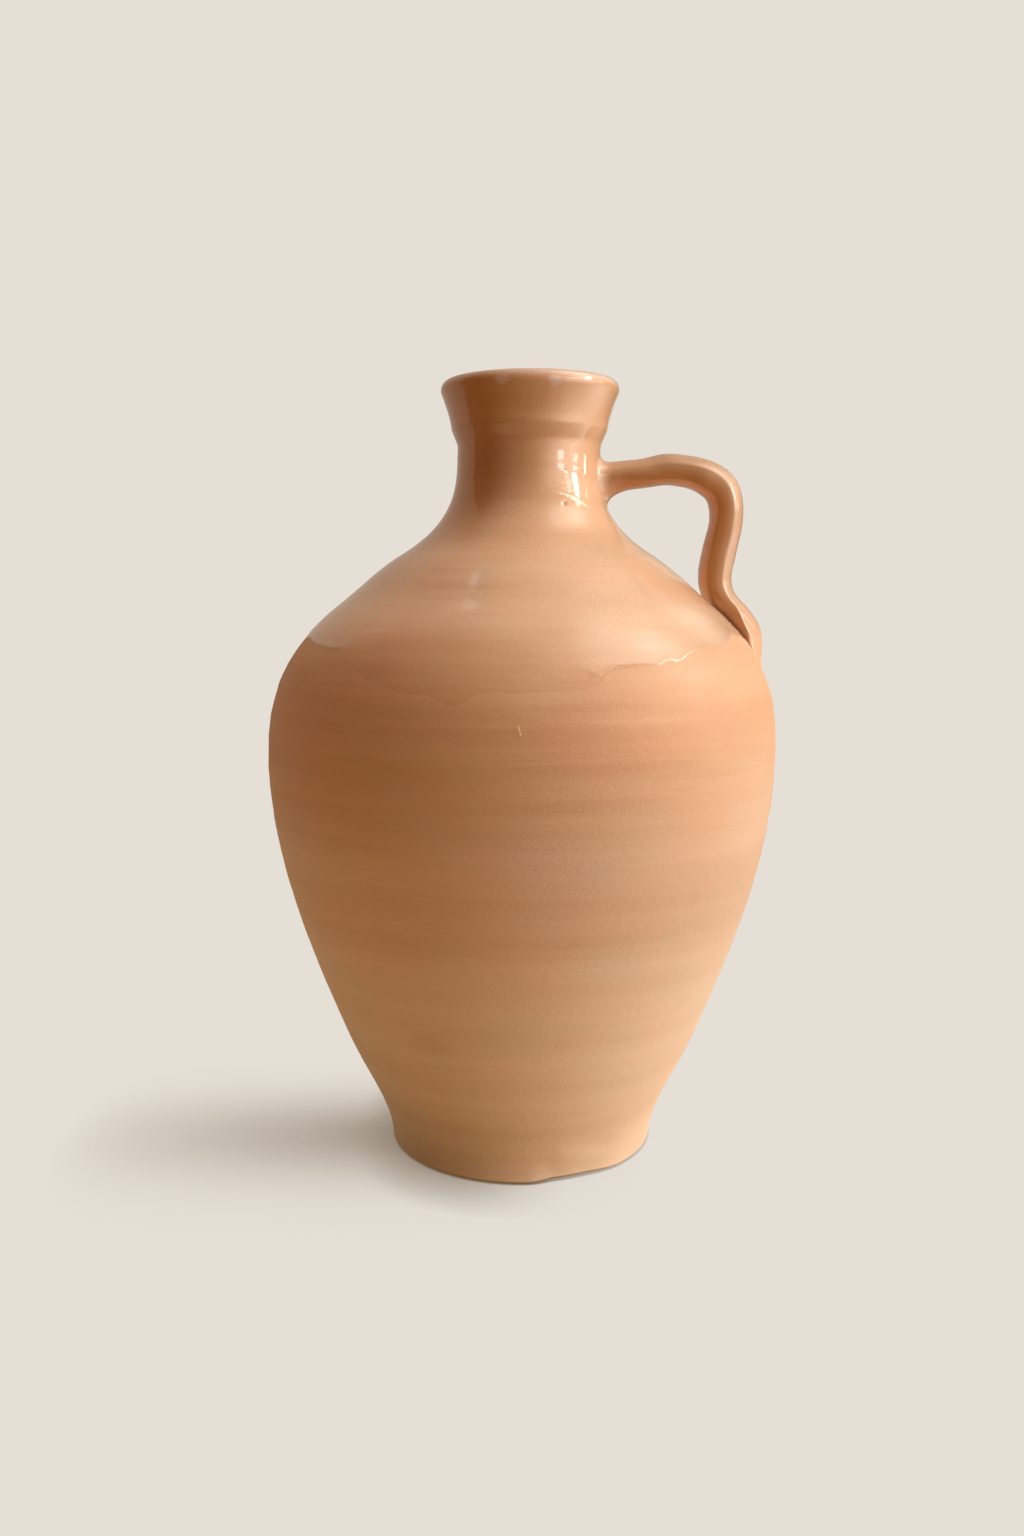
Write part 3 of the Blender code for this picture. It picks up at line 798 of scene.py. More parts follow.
def wall_glaze_depth(around, height):
    """How deep the glaze's colour is: thin low on the shoulder, deep on the neck with painted shade on its
    dark side, and deeper where it ran beside the handle, partly a painted reflection of it.
    """
    # Deeper glaze where it ran beside the handle, partly a painted reflection of the handle
    angle, lower, upper = np.array(RUN_AND_REFLECTION_BAND).T
    over = height - np.interp(around, angle, lower, left=1.0, right=1.0)
    under = np.interp(around, angle, upper, left=0.0, right=0.0) - height
    run_and_reflection = past_edge(over) * past_edge(under)
    # Painted shade: the neck's glaze is deeper on the side away from the light
    shaded_side = smooth_step(SHADED_SIDE_REACH[1], SHADED_SIDE_REACH[0], np.abs(turn_between(around, SHADED_SIDE_ANGLE)))
    neck = (1.0 + (NECK_DEPTH - 1.0) * shaded_side) * smooth_step(*DEEP_GLAZE_HEIGHTS, height)
    return np.maximum(neck, RUN_AND_REFLECTION_DEPTH * run_and_reflection)


# Painted shade: a dark line under the foot's edge, thinner on the lit side, and in the crevices beside the
# tail
def wall_grime(around, height, across):
    lit_side = smooth_step(LIT_SIDE_REACH, 0.0, np.abs(turn_between(around, LIT_SIDE_ANGLE)))
    foot = smooth_step(*FOOT_SHADE_HEIGHTS, height) * (1.0 - LIT_SIDE_SPARED * lit_side)
    low, low_full, high_full, high = TAIL_SHADE_HEIGHTS
    inner, edge, outer = TAIL_SHADE_SIDES
    beside = smooth_step(low, low_full, height) * (1.0 - smooth_step(high_full, high, height))
    beside *= smooth_step(inner, edge, np.abs(across)) * (1.0 - smooth_step(edge, outer, np.abs(across)))
    near_handle = np.abs(around) < TAIL_SHADE_ANGLE
    return np.maximum(foot, CREVICE_SHADE * beside * near_handle)


def throw_wall(piece):
    """Gives the turned piece its curved wall, its relief and its lean, as a potter's hands would."""
    points = mesh_points(piece)
    around = np.degrees(np.arctan2(points[:, 1], points[:, 0]))
    radius = np.hypot(points[:, 0], points[:, 1])
    height = points[:, 2].copy()
    on_wall = (height > FOOT_EDGE_ROUND - SAME_PLACE) & (height < LIP_HEIGHT + SAME_PLACE)
    middle = (wall_radius(height) + inner_radius(height)) / 2
    outer = on_wall & (radius > middle)
    inner = on_wall & (radius <= middle) & (height > BASE_SEAM - SAME_PLACE)
    wobble = sway_out_of_round(around, height)
    radius = np.where(outer, wall_radius(height) + wall_relief(around, height), radius)
    radius = np.where(inner, inner_radius(height), radius)
    radius += wobble * smooth_step(0.0, SWAY_FULL_RADIUS, radius)
    dent = dent_amount(around, height) * smooth_step(*DENT_RADII, radius)
    radius -= DENT_DEPTH * dent
    lifted = height + DENT_LIFT * dent
    turned = np.radians(around)
    points[:, 0] = radius * np.cos(turned) + lean_shift(height)
    points[:, 1] = radius * np.sin(turned)
    points[:, 2] = lifted
    set_mesh_points(piece, points)
    # Painted highlight along the lip's crest, and pale spots painted as reflections
    crest = LIP_CREST_HIGHLIGHT * smooth_step(*LIP_CREST_HIGHLIGHT_HEIGHTS, height)
    set_point_values(
        piece,
        gloss_rise=height - edge_height(GLOSS_EDGE, around),
        gloss_soft=gloss_softness(around),
        film_rise=height - edge_height(FILM_EDGE, around),
        glaze_depth=wall_glaze_depth(around, height),
        wheel_dark=spots(WHEEL_DARK_BANDS, around, height),
        wheel_pale=spots(WHEEL_PALE_BANDS, around, height),
        grime=wall_grime(around, height, points[:, 1]),
        worn=np.maximum(spots(PALE_REFLECTION_SPOTS, around, height), crest),
        stained=spots(STAINS, around, height),
    )
    return piece


def wall_places(low, high, count):
    """Places up the outside of the wall, with a narrow row beside each seam."""
    heights = [low, low + SEAM_MARGIN]
    heights += list(np.linspace(low, high, count + 1)[1:-1])
    heights += [high - SEAM_MARGIN, high]
    return [(float(wall_radius(z)), z) for z in heights]


def lining_places(high, low, count):
    return [(float(inner_radius(z)), z) for z in np.linspace(high, low, count)]


def make_foot():
    turns = np.linspace(0.0, math.pi / 2, FOOT_EDGE_STEPS + 1)
    edge_radius = float(wall_radius(FOOT_EDGE_ROUND)) - FOOT_EDGE_ROUND
    edge = []
    for turn in turns:
        radius = edge_radius + FOOT_EDGE_ROUND * math.sin(turn)
        edge.append((radius, FOOT_EDGE_ROUND * (1 - math.cos(turn))))
    underside = [(radius, 0.0) for radius in UNDERSIDE_RADII]
    wall = wall_places(FOOT_EDGE_ROUND, BASE_SEAM, FOOT_ROWS)[1:]
    floor = [(radius, BASE_SEAM) for radius in INNER_FLOOR_RADII]
    return throw_wall(turned_piece("thrown_foot", underside + edge + wall, floor, FOOT_CUTS, closed=False))


def make_wall(name):
    low, high, rows, lining_rows = THROWN_WALLS[name]
    lining = lining_places(high, low, lining_rows)
    return throw_wall(turned_piece(name, wall_places(low, high, rows), lining, WALL_CUTS))


def make_mouth_rim():
    """Collar and rounded lip, with the throat behind them as fine as the outside."""
    outside = wall_places(COLLAR_SEAM, LIP_HEIGHT, RIM_ROWS)
    start = -math.atan(WALL_STATIONS[-1, 2])
    middle_radius = LIP_RADIUS - LIP_ROUND * math.cos(start)
    middle_height = LIP_HEIGHT - LIP_ROUND * math.sin(start)
    lip = []
    for turn in np.linspace(start, math.pi, LIP_STEPS + 1)[1:]:
        lip.append((middle_radius + LIP_ROUND * math.cos(turn), middle_height + LIP_ROUND * math.sin(turn)))
    throat = lining_places(LIP_HEIGHT - THROAT_BELOW, COLLAR_SEAM, THROAT_ROWS)
    piece = turned_piece("mouth_rim", outside, lip + throat, WALL_CUTS)
    throw_wall(piece)
    round_lip(piece)
    return piece


def round_lip(piece):
    """Softens the line where the flare meets the lip."""
    bpy.ops.object.mode_set(mode="EDIT")
    select_where(piece, lambda point: point.z > LIP_HEIGHT - LIP_SOFT_BELOW)
    bpy.ops.mesh.vertices_smooth(factor=LIP_SOFTENING, repeat=LIP_SOFTENING_ROUNDS)
    bpy.ops.object.mode_set(mode="OBJECT")


def wall_place(height, out=0.0):
    """Place on the handle's side of the wall, in the arch's plane, moved out square to the wall."""
    slope = float(wall_slope(height))
    length = math.hypot(1.0, slope)
    x = float(wall_radius(height) + lean_shift(height)) + out / length
    return np.array((x, height - slope * out / length))


def handle_stations():
    """Centre, thickness and width of the arch's section at each station, from the neck to the tail."""
    root = wall_place(ROOT_HEIGHT)
    stations = [(root + (reach, rise), thick, wide) for reach, rise, thick, wide in ARCH_STATIONS]
    ankle = wall_place(LANDING_HEIGHT) + (ANKLE_OUT, ANKLE_RISE)
    stations.append((ankle, ANKLE_THICKNESS, ANKLE_WIDTH))
    height, stand_off, _, width = TAIL_STATIONS[0]
    stations.append((wall_place(height, (stand_off - TAIL_SINK) / 2), stand_off + TAIL_SINK, width))
    return stations


def crown_edge(stand_off, side):
    """Where the tail's side wall turns over, as a part of half its thickness."""
    return 2 * (side + TAIL_SINK) / (stand_off + TAIL_SINK) - 1


def arch_rows():
    """Fine sections of the arch.

    Each has its centre's x and z, half thickness, half width, crown and under edge, crispness and tuck.
    """
    stations = handle_stations()
    centres = np.array([station[0] for station in stations])
    travel = np.empty_like(centres)
    travel[0] = (1.0, 0.0)
    travel[1:-1] = centres[2:] - centres[:-2]
    travel[-1] = (-wall_slope(TAIL_STATIONS[0][0]), -1.0)
    travel /= np.linalg.norm(travel, axis=1)[:, None]
    inside = (centres[0][0] - ROOT_INSIDE, centres[0][1], ARCH_STATIONS[0][2] / 2, ARCH_STATIONS[0][3] / 2)
    rows = [(*inside, CROWN_FROM, UNDER_FROM, ARCH_CRISP, 0.0)]
    for i in range(len(stations) - 1):
        at_root = i == 0
        steps = ROOT_STEPS if at_root else ROUTE_STEPS
        reach = np.linalg.norm(centres[i + 1] - centres[i])
        for share in np.arange(steps) / steps:
            t = share**2 if at_root else share
            ease = t * t * (3 - 2 * t)
            place = cubic_between(centres[i], centres[i + 1], reach * travel[i], reach * travel[i + 1], t)
            thick = stations[i][1] + (stations[i + 1][1] - stations[i][1]) * ease
            wide = stations[i][2] + (stations[i + 1][2] - stations[i][2]) * ease
            landing = ease if i == len(stations) - 2 else 0.0
            crown = CROWN_FROM + (crown_edge(*TAIL_STATIONS[0][1:3]) - CROWN_FROM) * landing
            under = UNDER_FROM + (1.0 - UNDER_FROM) * landing
            crisp = ARCH_CRISP + (1.0 - ARCH_CRISP) * landing
            rows.append((*place, thick / 2, wide / 2, crown, under, crisp, landing))
    return rows


def tail_rows():
    """Fine sections of the tail, each on the wall, with a side wall that runs out towards the tip."""
    rows = []
    heights = TAIL_STATIONS[::-1, 0]
    for height in np.linspace(heights[-1], heights[0], TAIL_STEPS + 1):
        stand_off, side, width = (np.interp(height, heights, column) for column in TAIL_STATIONS[::-1, 1:].T)
        place = wall_place(height, (stand_off - TAIL_SINK) / 2)
        half_thick = (stand_off + TAIL_SINK) / 2
        tuck = float(smooth_step(0.0, TUCK_SIDE, side))
        rows.append((*place, half_thick, width / 2, crown_edge(stand_off, side), 1.0, 1.0, tuck))
    return rows


def handle_route():
    """All sections of the handle, with the distance along it and the outward direction of each."""
    arch = arch_rows()
    rows = np.array(arch + tail_rows())
    steps = np.hypot(np.diff(rows[:, 0]), np.diff(rows[:, 1]))
    along = np.concatenate(((0.0,), np.cumsum(steps)))
    outward = np.stack((-np.gradient(rows[:, 1], along), np.gradient(rows[:, 0], along)), axis=1)
    tail_heights = np.linspace(TAIL_STATIONS[0][0], TAIL_STATIONS[-1][0], TAIL_STEPS + 1)
    outward[len(arch):] = np.stack((np.ones_like(tail_heights), -wall_slope(tail_heights)), axis=1)
    outward /= np.linalg.norm(outward, axis=1)[:, None]
    return along, rows, outward


def pull_strap(name, along, rows):
    """Pulls a straight strap of clay from a ring, one section after another, and closes its two ends."""
    bpy.ops.object.select_all(action="DESELECT")
    bpy.ops.mesh.primitive_circle_add(vertices=STRAP_SIDES, radius=1.0, fill_type="NGON", location=(0, 0, 0))
    strap = bpy.context.active_object
    strap.name = name
    strap.data.name = name
    bpy.ops.object.mode_set(mode="EDIT")
    bpy.ops.mesh.select_all(action="SELECT")
    bpy.ops.transform.resize(value=(rows[0][2], rows[0][3], 1.0), center_override=(0, 0, 0))
    for i in range(1, len(along)):
        step = along[i] - along[i - 1]
        bpy.ops.mesh.extrude_region_move(TRANSFORM_OT_translate={"value": (0, 0, step)})
        scale = (rows[i][2] / rows[i - 1][2], rows[i][3] / rows[i - 1][3], 1.0)
        bpy.ops.transform.resize(value=scale, center_override=(0, 0, along[i]))
    bpy.ops.mesh.select_all(action="SELECT")
    bpy.ops.mesh.normals_make_consistent(inside=False)
    bpy.ops.object.mode_set(mode="OBJECT")
    apply_modifier(strap, "SUBSURF", levels=STRAP_LEVELS, render_levels=STRAP_LEVELS)
    return strap


def strap_section(turn, crown_from, under_from, crisp):
    """Section of the strap at a turn round it, as parts of its half sizes.

    A round section has no edges. A crisp one has flat sides, a crowned outside and a crowned inside, with the
    edges between them rounded over by the smoothing of the two tables.
    """
    share = np.linspace(0.0, 1.0, SECTION_STEPS)
    crown = np.clip(share / CROWN_SHARE, 0.0, 1.0)
    under = np.clip((1.0 - share) / CROWN_SHARE, 0.0, 1.0)
    side = np.clip((share - CROWN_SHARE) / (1.0 - 2.0 * CROWN_SHARE), 0.0, 1.0)
    ends = SECTION_ROUNDING // 2

    def rounded(table, mirror):
        padded = np.concatenate((mirror * table[ends:0:-1], table, mirror * table[-2:-ends - 2:-1]))
        return np.convolve(padded, rounding_weights(SECTION_ROUNDING), mode="valid")

    at = np.abs(turn) / math.pi
    sideways = np.interp(at, share, rounded(np.minimum(crown, under), -1.0))
    dome = np.interp(at, share, rounded(np.where(share < 0.5, 1 - crown**2, 0.0), 1.0))
    bowl = np.interp(at, share, rounded(np.where(share > 0.5, 1 - under**2, 0.0), 1.0))
    climb = np.interp(at, share, rounded(side, 1.0))
    across = crown_from + (1 - crown_from) * dome
    across -= (crown_from + under_from) * climb + (1 - under_from) * bowl
    across = np.cos(turn) + (across - np.cos(turn)) * crisp
    sideways = np.abs(np.sin(turn)) + (sideways - np.abs(np.sin(turn))) * crisp
    return across, sideways * np.sign(np.sin(turn))


def flare(distance, size):
    """How far the clay at the root spreads: a hollow quarter round that ends along the neck."""
    spread, reach = size
    left = np.clip(1.0 - distance / reach, 0.0, 1.0)
    return spread * (1.0 - np.sqrt(1.0 - left**2))


def bend_handle(strap, along, rows, outward):
    """Bends the strap over its arch, works its root into the neck and lays its tail along the shoulder."""
    points = mesh_points(strap)
    distance = np.clip(points[:, 2], 0.0, along[-1])
    x, z, half_thick, half_wide, crown_from, under_from, crisp, tuck = (
        np.interp(distance, along, column) for column in rows.T
    )
    out_x, out_z = (np.interp(distance, along, column) for column in outward.T)
    turn = np.arctan2(points[:, 1] / half_wide, points[:, 0] / half_thick)
    fill = np.hypot(points[:, 1] / half_wide, points[:, 0] / half_thick)
    fill = np.where(fill > STRAP_SKIN, 1.0, fill)
    from_neck = distance - ROOT_INSIDE
    crisp *= smooth_step(*CRISP_ALONG, from_neck)
    across, sideways = strap_section(turn, crown_from, under_from, crisp)
    sideways *= 1.0 - TUCK * tuck * smooth_step(*TUCK_ACROSS, across)
    # Deeper glaze on the strap's sides and inside, partly painted shade away from the light
    deep_and_shaded_side = 1.0 - smooth_step(*THIN_GLAZE_LIT_ACROSS, across)
    # Painted shade in the crevice under the tail's sides
    shaded_crevice = tuck * smooth_step(*CREVICE_ACROSS, across)
    lumps = np.zeros_like(distance)
    for depth, wave, turns, phase in STRAP_LUMPS:
        lumps += depth * np.sin(math.tau * distance / wave + turns * turn + phase)
    lumps *= smooth_step(*LUMPS_FROM_NECK, from_neck) * smooth_step(*LUMPS_FROM_TIP, along[-1] - distance)
    spread = np.where(across > 0, flare(from_neck, FLARE_ABOVE), flare(from_neck, FLARE_BELOW))
    across = across * fill * (half_thick + spread + lumps)
    sideways = sideways * fill * (half_wide + flare(from_neck, FLARE_SIDE) + lumps)
    x += across * out_x
    z += across * out_z
    around = np.degrees(np.arcsin(np.clip(sideways / wall_radius(z), -1.0, 1.0)))
    worked = wall_radius(z) + wall_relief(around, z) + sway_out_of_round(around, z) - ROOT_EDGE_SINK
    on_neck = np.sqrt(np.maximum(worked**2 - sideways**2, 0.0)) + lean_shift(z)
    hug = np.clip(1.0 - from_neck / FLARE_BELOW[1], 0.0, 1.0) ** 2
    x += (on_neck - wall_place(ROOT_HEIGHT)[0]) * hug
    wall_turn = wall_radius(z) - np.sqrt(wall_radius(z) ** 2 - sideways**2)
    x -= wall_turn * smooth_step(*TAIL_TIP_HEIGHTS, z)
    set_mesh_points(strap, np.stack((x, sideways, z), axis=1))
    set_point_values(
        strap,
        gloss_rise=z - HANDLE_GLOSS_EDGE,
        gloss_soft=np.full(len(z), HANDLE_GLOSS_SOFTNESS),
        film_rise=z - HANDLE_FILM_EDGE,
        glaze_depth=deep_and_shaded_side * smooth_step(*HANDLE_DEEP_FROM_NECK, from_neck),
        grime=CREVICE_SHADE * shaded_crevice,
    )


def make_handle():
    along, rows, outward = handle_route()
    strap = pull_strap("pulled_handle", along, rows)
    bend_handle(strap, along, rows, outward)
    bpy.ops.object.shade_smooth()
    return strap


def add_node(tree, kind, **settings):
    made = tree.nodes.new(kind)
    for name, value in settings.items():
        setattr(made, name, value)
    return made


def feed(tree, target, source):
    """Links a socket to an input, or writes a plain value there."""
    if isinstance(source, bpy.types.NodeSocket):
        tree.links.new(source, target)
    else:
        target.default_value = source


def maths(tree, operation, first, second=0.0, third=0.0):
    made = add_node(tree, "ShaderNodeMath", operation=operation)
    for target, source in zip(made.inputs, (first, second, third)):
        feed(tree, target, source)
    return made.outputs[0]


def colour_mix(tree, factor, first, second, blend="MIX"):
    made = add_node(tree, "ShaderNodeMix", data_type="RGBA", blend_type=blend)
    feed(tree, made.inputs[0], factor)
    for target, source in ((made.inputs[6], first), (made.inputs[7], second)):
        feed(tree, target, source if isinstance(source, bpy.types.NodeSocket) else (*source, 1.0))
    return made.outputs[2]


def tinted(tree, amount, colour, tint):
    """A colour under a tint that is as strong as the amount."""
    return colour_mix(tree, amount, colour, colour_mix(tree, 1.0, colour, tint, "MULTIPLY"))


def between(tree, value, low, high):
    """Smooth rise from 0 to 1 while a value goes from low to high."""
    made = add_node(tree, "ShaderNodeMapRange", interpolation_type="SMOOTHSTEP")
    for target, source in zip(made.inputs, (value, low, high, 0.0, 1.0)):
        feed(tree, target, source)
    return made.outputs[0]


def stretched(tree, coordinates, scale, turn=(0.0, 0.0, 0.0)):
    made = add_node(tree, "ShaderNodeMapping")
    made.inputs["Scale"].default_value = scale
    made.inputs["Rotation"].default_value = turn
    tree.links.new(coordinates, made.inputs["Vector"])
    return made.outputs[0]


def noise(tree, coordinates, pattern):
    scale, detail, roughness = PATTERNS[pattern]
    made = add_node(tree, "ShaderNodeTexNoise")
    made.inputs["Scale"].default_value = 1.0
    made.inputs["Detail"].default_value = detail
    made.inputs["Roughness"].default_value = roughness
    tree.links.new(stretched(tree, coordinates, scale), made.inputs["Vector"])
    return made.outputs["Fac"]


def scattered_spots(tree, coordinates, scale, share, size):
    """Round spots in a share of the cells of a scatter, 1 in each spot's middle."""
    cells = add_node(tree, "ShaderNodeTexVoronoi")
    cells.inputs["Scale"].default_value = scale
    tree.links.new(coordinates, cells.inputs["Vector"])
    chosen = maths(tree, "LESS_THAN", cells.outputs["Color"], share)
    spot = between(tree, cells.outputs["Distance"], size, size * SPOT_CORE)
    return maths(tree, "MULTIPLY", chosen, spot)


def point_value(tree, name):
    return add_node(tree, "ShaderNodeAttribute", attribute_name=name).outputs["Fac"]


def new_group(name, inputs, outputs):
    tree = bpy.data.node_groups.new(name, "ShaderNodeTree")
    for socket, kind, value in inputs:
        made = tree.interface.new_socket(socket, in_out="INPUT", socket_type=kind)
        made.default_value = value
    for socket, kind in outputs:
        tree.interface.new_socket(socket, in_out="OUTPUT", socket_type=kind)
    return tree, add_node(tree, "NodeGroupInput"), add_node(tree, "NodeGroupOutput")


def pale_scratch(tree, split):
    """The short scratch on the side that faces the camera, 1 inside it."""
    above = maths(tree, "SUBTRACT", split.outputs["Z"], SCRATCH_Z)
    leaned = maths(tree, "MULTIPLY_ADD", above, SCRATCH_LEAN, split.outputs["X"])
    aside = maths(tree, "SUBTRACT", leaned, SCRATCH_X)
    core_width, core_length = SCRATCH_HALF_WIDTH * SCRATCH_CORE[0], SCRATCH_HALF_LENGTH * SCRATCH_CORE[1]
    thin = between(tree, maths(tree, "ABSOLUTE", aside), SCRATCH_HALF_WIDTH, core_width)
    short = between(tree, maths(tree, "ABSOLUTE", above), SCRATCH_HALF_LENGTH, core_length)
    in_front = maths(tree, "LESS_THAN", split.outputs["Y"], 0.0)
    return maths(tree, "MULTIPLY", maths(tree, "MULTIPLY", thin, short), in_front)


def fired_clay_group():
    """Fired clay: colour that drifts up the jug, partly painted light, streaks from the wheel, specks,
    painted shade, and a brushed grain.
    """
    tree, given, result = new_group(
        "fired_clay",
        (("Streaks", "NodeSocketFloat", 1.0),),
        (("Color", "NodeSocketColor"), ("Roughness", "NodeSocketFloat"), ("Grain", "NodeSocketFloat")),
    )
    place = add_node(tree, "ShaderNodeTexCoord").outputs["Object"]
    split = add_node(tree, "ShaderNodeSeparateXYZ")
    tree.links.new(place, split.inputs[0])
    drift = maths(tree, "SUBTRACT", noise(tree, place, "drift"), 0.5)
    level = maths(tree, "MULTIPLY_ADD", drift, DRIFT_HEIGHT, split.outputs["Z"])
    # Clay colour by height: the clay's drift, with painted light that makes the foot and the shoulder paler
    body = CLAY_COLOURS_AND_PAINTED_LIGHT[0][1]
    for (low, _), (high, colour) in zip(CLAY_COLOURS_AND_PAINTED_LIGHT, CLAY_COLOURS_AND_PAINTED_LIGHT[1:]):
        body = colour_mix(tree, between(tree, level, low, high), body, colour)
    patches = between(tree, noise(tree, place, "patches"), *PATCH_RANGE)
    body = colour_mix(tree, 1.0, body, colour_mix(tree, patches, YELLOWER, REDDER), "MULTIPLY")
    bands = between(tree, noise(tree, place, "bands"), *BAND_RANGE)
    banded = colour_mix(tree, 1.0, body, colour_mix(tree, bands, BAND_DARK, BAND_PALE), "MULTIPLY")
    lines = noise(tree, place, "lines")
    for amount, tint in (
        (between(tree, lines, *DARK_LINE_RANGE), DARK_LINE),
        (between(tree, lines, *PALE_LINE_RANGE), PALE_LINE),
        (point_value(tree, "wheel_dark"), WHEEL_DARK),
        (point_value(tree, "wheel_pale"), WHEEL_PALE),
    ):
        banded = tinted(tree, amount, banded, tint)
    streaked = colour_mix(tree, given.outputs["Streaks"], body, banded)
    stained = tinted(tree, point_value(tree, "stained"), streaked, STAIN_TINT)
    specked = tinted(tree, scattered_spots(tree, place, *SPECKS), stained, SPECK_TINT)
    scratched = colour_mix(tree, pale_scratch(tree, split), specked, SCRATCH_COLOUR)
    # Painted shade under the foot's edge and in the crevices beside the tail
    grimed = tinted(tree, point_value(tree, "grime"), scratched, PAINTED_SHADE_TINT)
    feed(tree, result.inputs["Color"], grimed)
    roughness = maths(tree, "MULTIPLY_ADD", noise(tree, place, "clouds"), CLOUD_ROUGHNESS, CLAY_ROUGHNESS)
    feed(tree, result.inputs["Roughness"], roughness)
    leaning = stretched(tree, place, (1.0, 1.0, 1.0), (0.0, math.radians(WIPED_LEAN), 0.0))
    grain = maths(tree, "MULTIPLY", noise(tree, place, "grain"), GRAIN_HEIGHT)
    relief = maths(tree, "MULTIPLY_ADD", noise(tree, leaning, "wiped"), WIPED_HEIGHT, grain)
    pitted = maths(tree, "MULTIPLY_ADD", scattered_spots(tree, place, *PITS), -PIT_DEPTH, relief)
    feed(tree, result.inputs["Grain"], pitted)
    return tree


def glaze_film_group():
    """Where the glaze lies: full gloss above its edge, a thin film below it, and the bead along the edge."""
    tree, given, result = new_group(
        "honey_glaze",
        (
            ("Gloss Rise", "NodeSocketFloat", 0.0),
            ("Gloss Softness", "NodeSocketFloat", 0.001),
            ("Film Rise", "NodeSocketFloat", 0.0),
        ),
        (
            ("Gloss", "NodeSocketFloat"),
            ("Film", "NodeSocketFloat"),
            ("Bead", "NodeSocketFloat"),
        ),
    )
    place = add_node(tree, "ShaderNodeTexCoord").outputs["Object"]
    ragged = maths(tree, "SUBTRACT", noise(tree, place, "ragged_edge"), 0.5)
    rise = maths(tree, "MULTIPLY_ADD", ragged, EDGE_RAGGED, given.outputs["Gloss Rise"])
    film_rise = maths(tree, "MULTIPLY_ADD", ragged, EDGE_RAGGED, given.outputs["Film Rise"])
    softness = given.outputs["Gloss Softness"]
    gloss = between(tree, rise, maths(tree, "MULTIPLY", softness, -1.0), softness)
    film = between(tree, film_rise, -FILM_EDGE_ROUND, FILM_EDGE_ROUND)
    crisp = between(tree, softness, *BEAD_SOFTNESS)
    over = between(tree, rise, *BEAD_RISE)
    bead = maths(tree, "MULTIPLY", maths(tree, "MULTIPLY", over, gloss), crisp)
    for name, value in (("Gloss", gloss), ("Film", film), ("Bead", bead)):
        feed(tree, result.inputs[name], value)
    return tree


def place_group(tree, group, **values):
    made = add_node(tree, "ShaderNodeGroup", node_tree=group)
    for name, value in values.items():
        feed(tree, made.inputs[name], value)
    return made


def new_material(name):
    made = bpy.data.materials.new(name)
    made.use_nodes = True
    return made, made.node_tree, made.node_tree.nodes["Principled BSDF"]


def bumped(tree, shader, height):
    """Turns a height in millimetres into the shader's normal."""
    bump = add_node(tree, "ShaderNodeBump")
    bump.inputs["Distance"].default_value = MILLIMETRE
    tree.links.new(height, bump.inputs["Height"])
    tree.links.new(bump.outputs["Normal"], shader.inputs["Normal"])


def bare_clay_material(clay):
    made, tree, shader = new_material("bare_clay")
    body = place_group(tree, clay, Streaks=WALL_STREAKS)
    tree.links.new(body.outputs["Color"], shader.inputs["Base Color"])
    tree.links.new(body.outputs["Roughness"], shader.inputs["Roughness"])
    shader.inputs["Sheen Weight"].default_value = CLAY_DUST
    shader.inputs["Sheen Tint"].default_value = (*DUST_COLOUR, 1.0)
    bumped(tree, shader, body.outputs["Grain"])
    return made


def glazed_clay_material(name, clay, glaze, streaks, thin_tint, deep_and_shade_tint):
    """Clay under honey glaze: darker and warmer under the gloss, with a bead along the glaze's edge."""
    made, tree, shader = new_material(name)
    body = place_group(tree, clay, Streaks=streaks)
    coat = place_group(
        tree, glaze,
        **{
            "Gloss Rise": point_value(tree, "gloss_rise"),
            "Gloss Softness": point_value(tree, "gloss_soft"),
            "Film Rise": point_value(tree, "film_rise"),
        },
    )
    gloss, film = coat.outputs["Gloss"], coat.outputs["Film"]
    clay_colour = body.outputs["Color"]
    filmed = tinted(tree, film, clay_colour, FILM_TINT)
    # Tint by depth of glaze, which also carries painted shade on the neck's dark side and the handle's sides,
    # and a painted reflection beside the handle
    tint = colour_mix(tree, point_value(tree, "glaze_depth"), thin_tint, deep_and_shade_tint)
    glazed = colour_mix(tree, gloss, filmed, colour_mix(tree, 1.0, clay_colour, tint, "MULTIPLY"))
    # Painted highlight on the lip's crest and painted pale reflections in the glaze
    worn = colour_mix(tree, point_value(tree, "worn"), glazed, PAINTED_PALE_COLOUR)
    tree.links.new(worn, shader.inputs["Base Color"])
    weight = maths(tree, "MAXIMUM", gloss, maths(tree, "MULTIPLY", film, FILM_COAT))
    tree.links.new(weight, shader.inputs["Coat Weight"])
    shader.inputs["Coat Roughness"].default_value = COAT_ROUGHNESS
    bare_share = maths(tree, "SUBTRACT", 1.0, gloss)
    roughness = maths(tree, "MULTIPLY_ADD", gloss, GLAZED_ROUGHNESS,
                      maths(tree, "MULTIPLY", bare_share, body.outputs["Roughness"]))
    tree.links.new(roughness, shader.inputs["Roughness"])
    place = add_node(tree, "ShaderNodeTexCoord").outputs["Object"]
    ripple = maths(tree, "MULTIPLY", noise(tree, place, "glaze_ripple"), gloss)
    grain = maths(tree, "MULTIPLY_ADD", ripple, GLAZE_RIPPLE, body.outputs["Grain"])
    coat_bump = add_node(tree, "ShaderNodeBump")
    coat_bump.inputs["Distance"].default_value = MILLIMETRE * COAT_RIPPLE
    tree.links.new(noise(tree, place, "coat_ripple"), coat_bump.inputs["Height"])
    tree.links.new(coat_bump.outputs["Normal"], shader.inputs["Coat Normal"])
    stepped = maths(tree, "MULTIPLY_ADD", film, FILM_STEP, grain)
    bumped(tree, shader, maths(tree, "MULTIPLY_ADD", coat.outputs["Bead"], BEAD_HEIGHT, stepped))
    return made


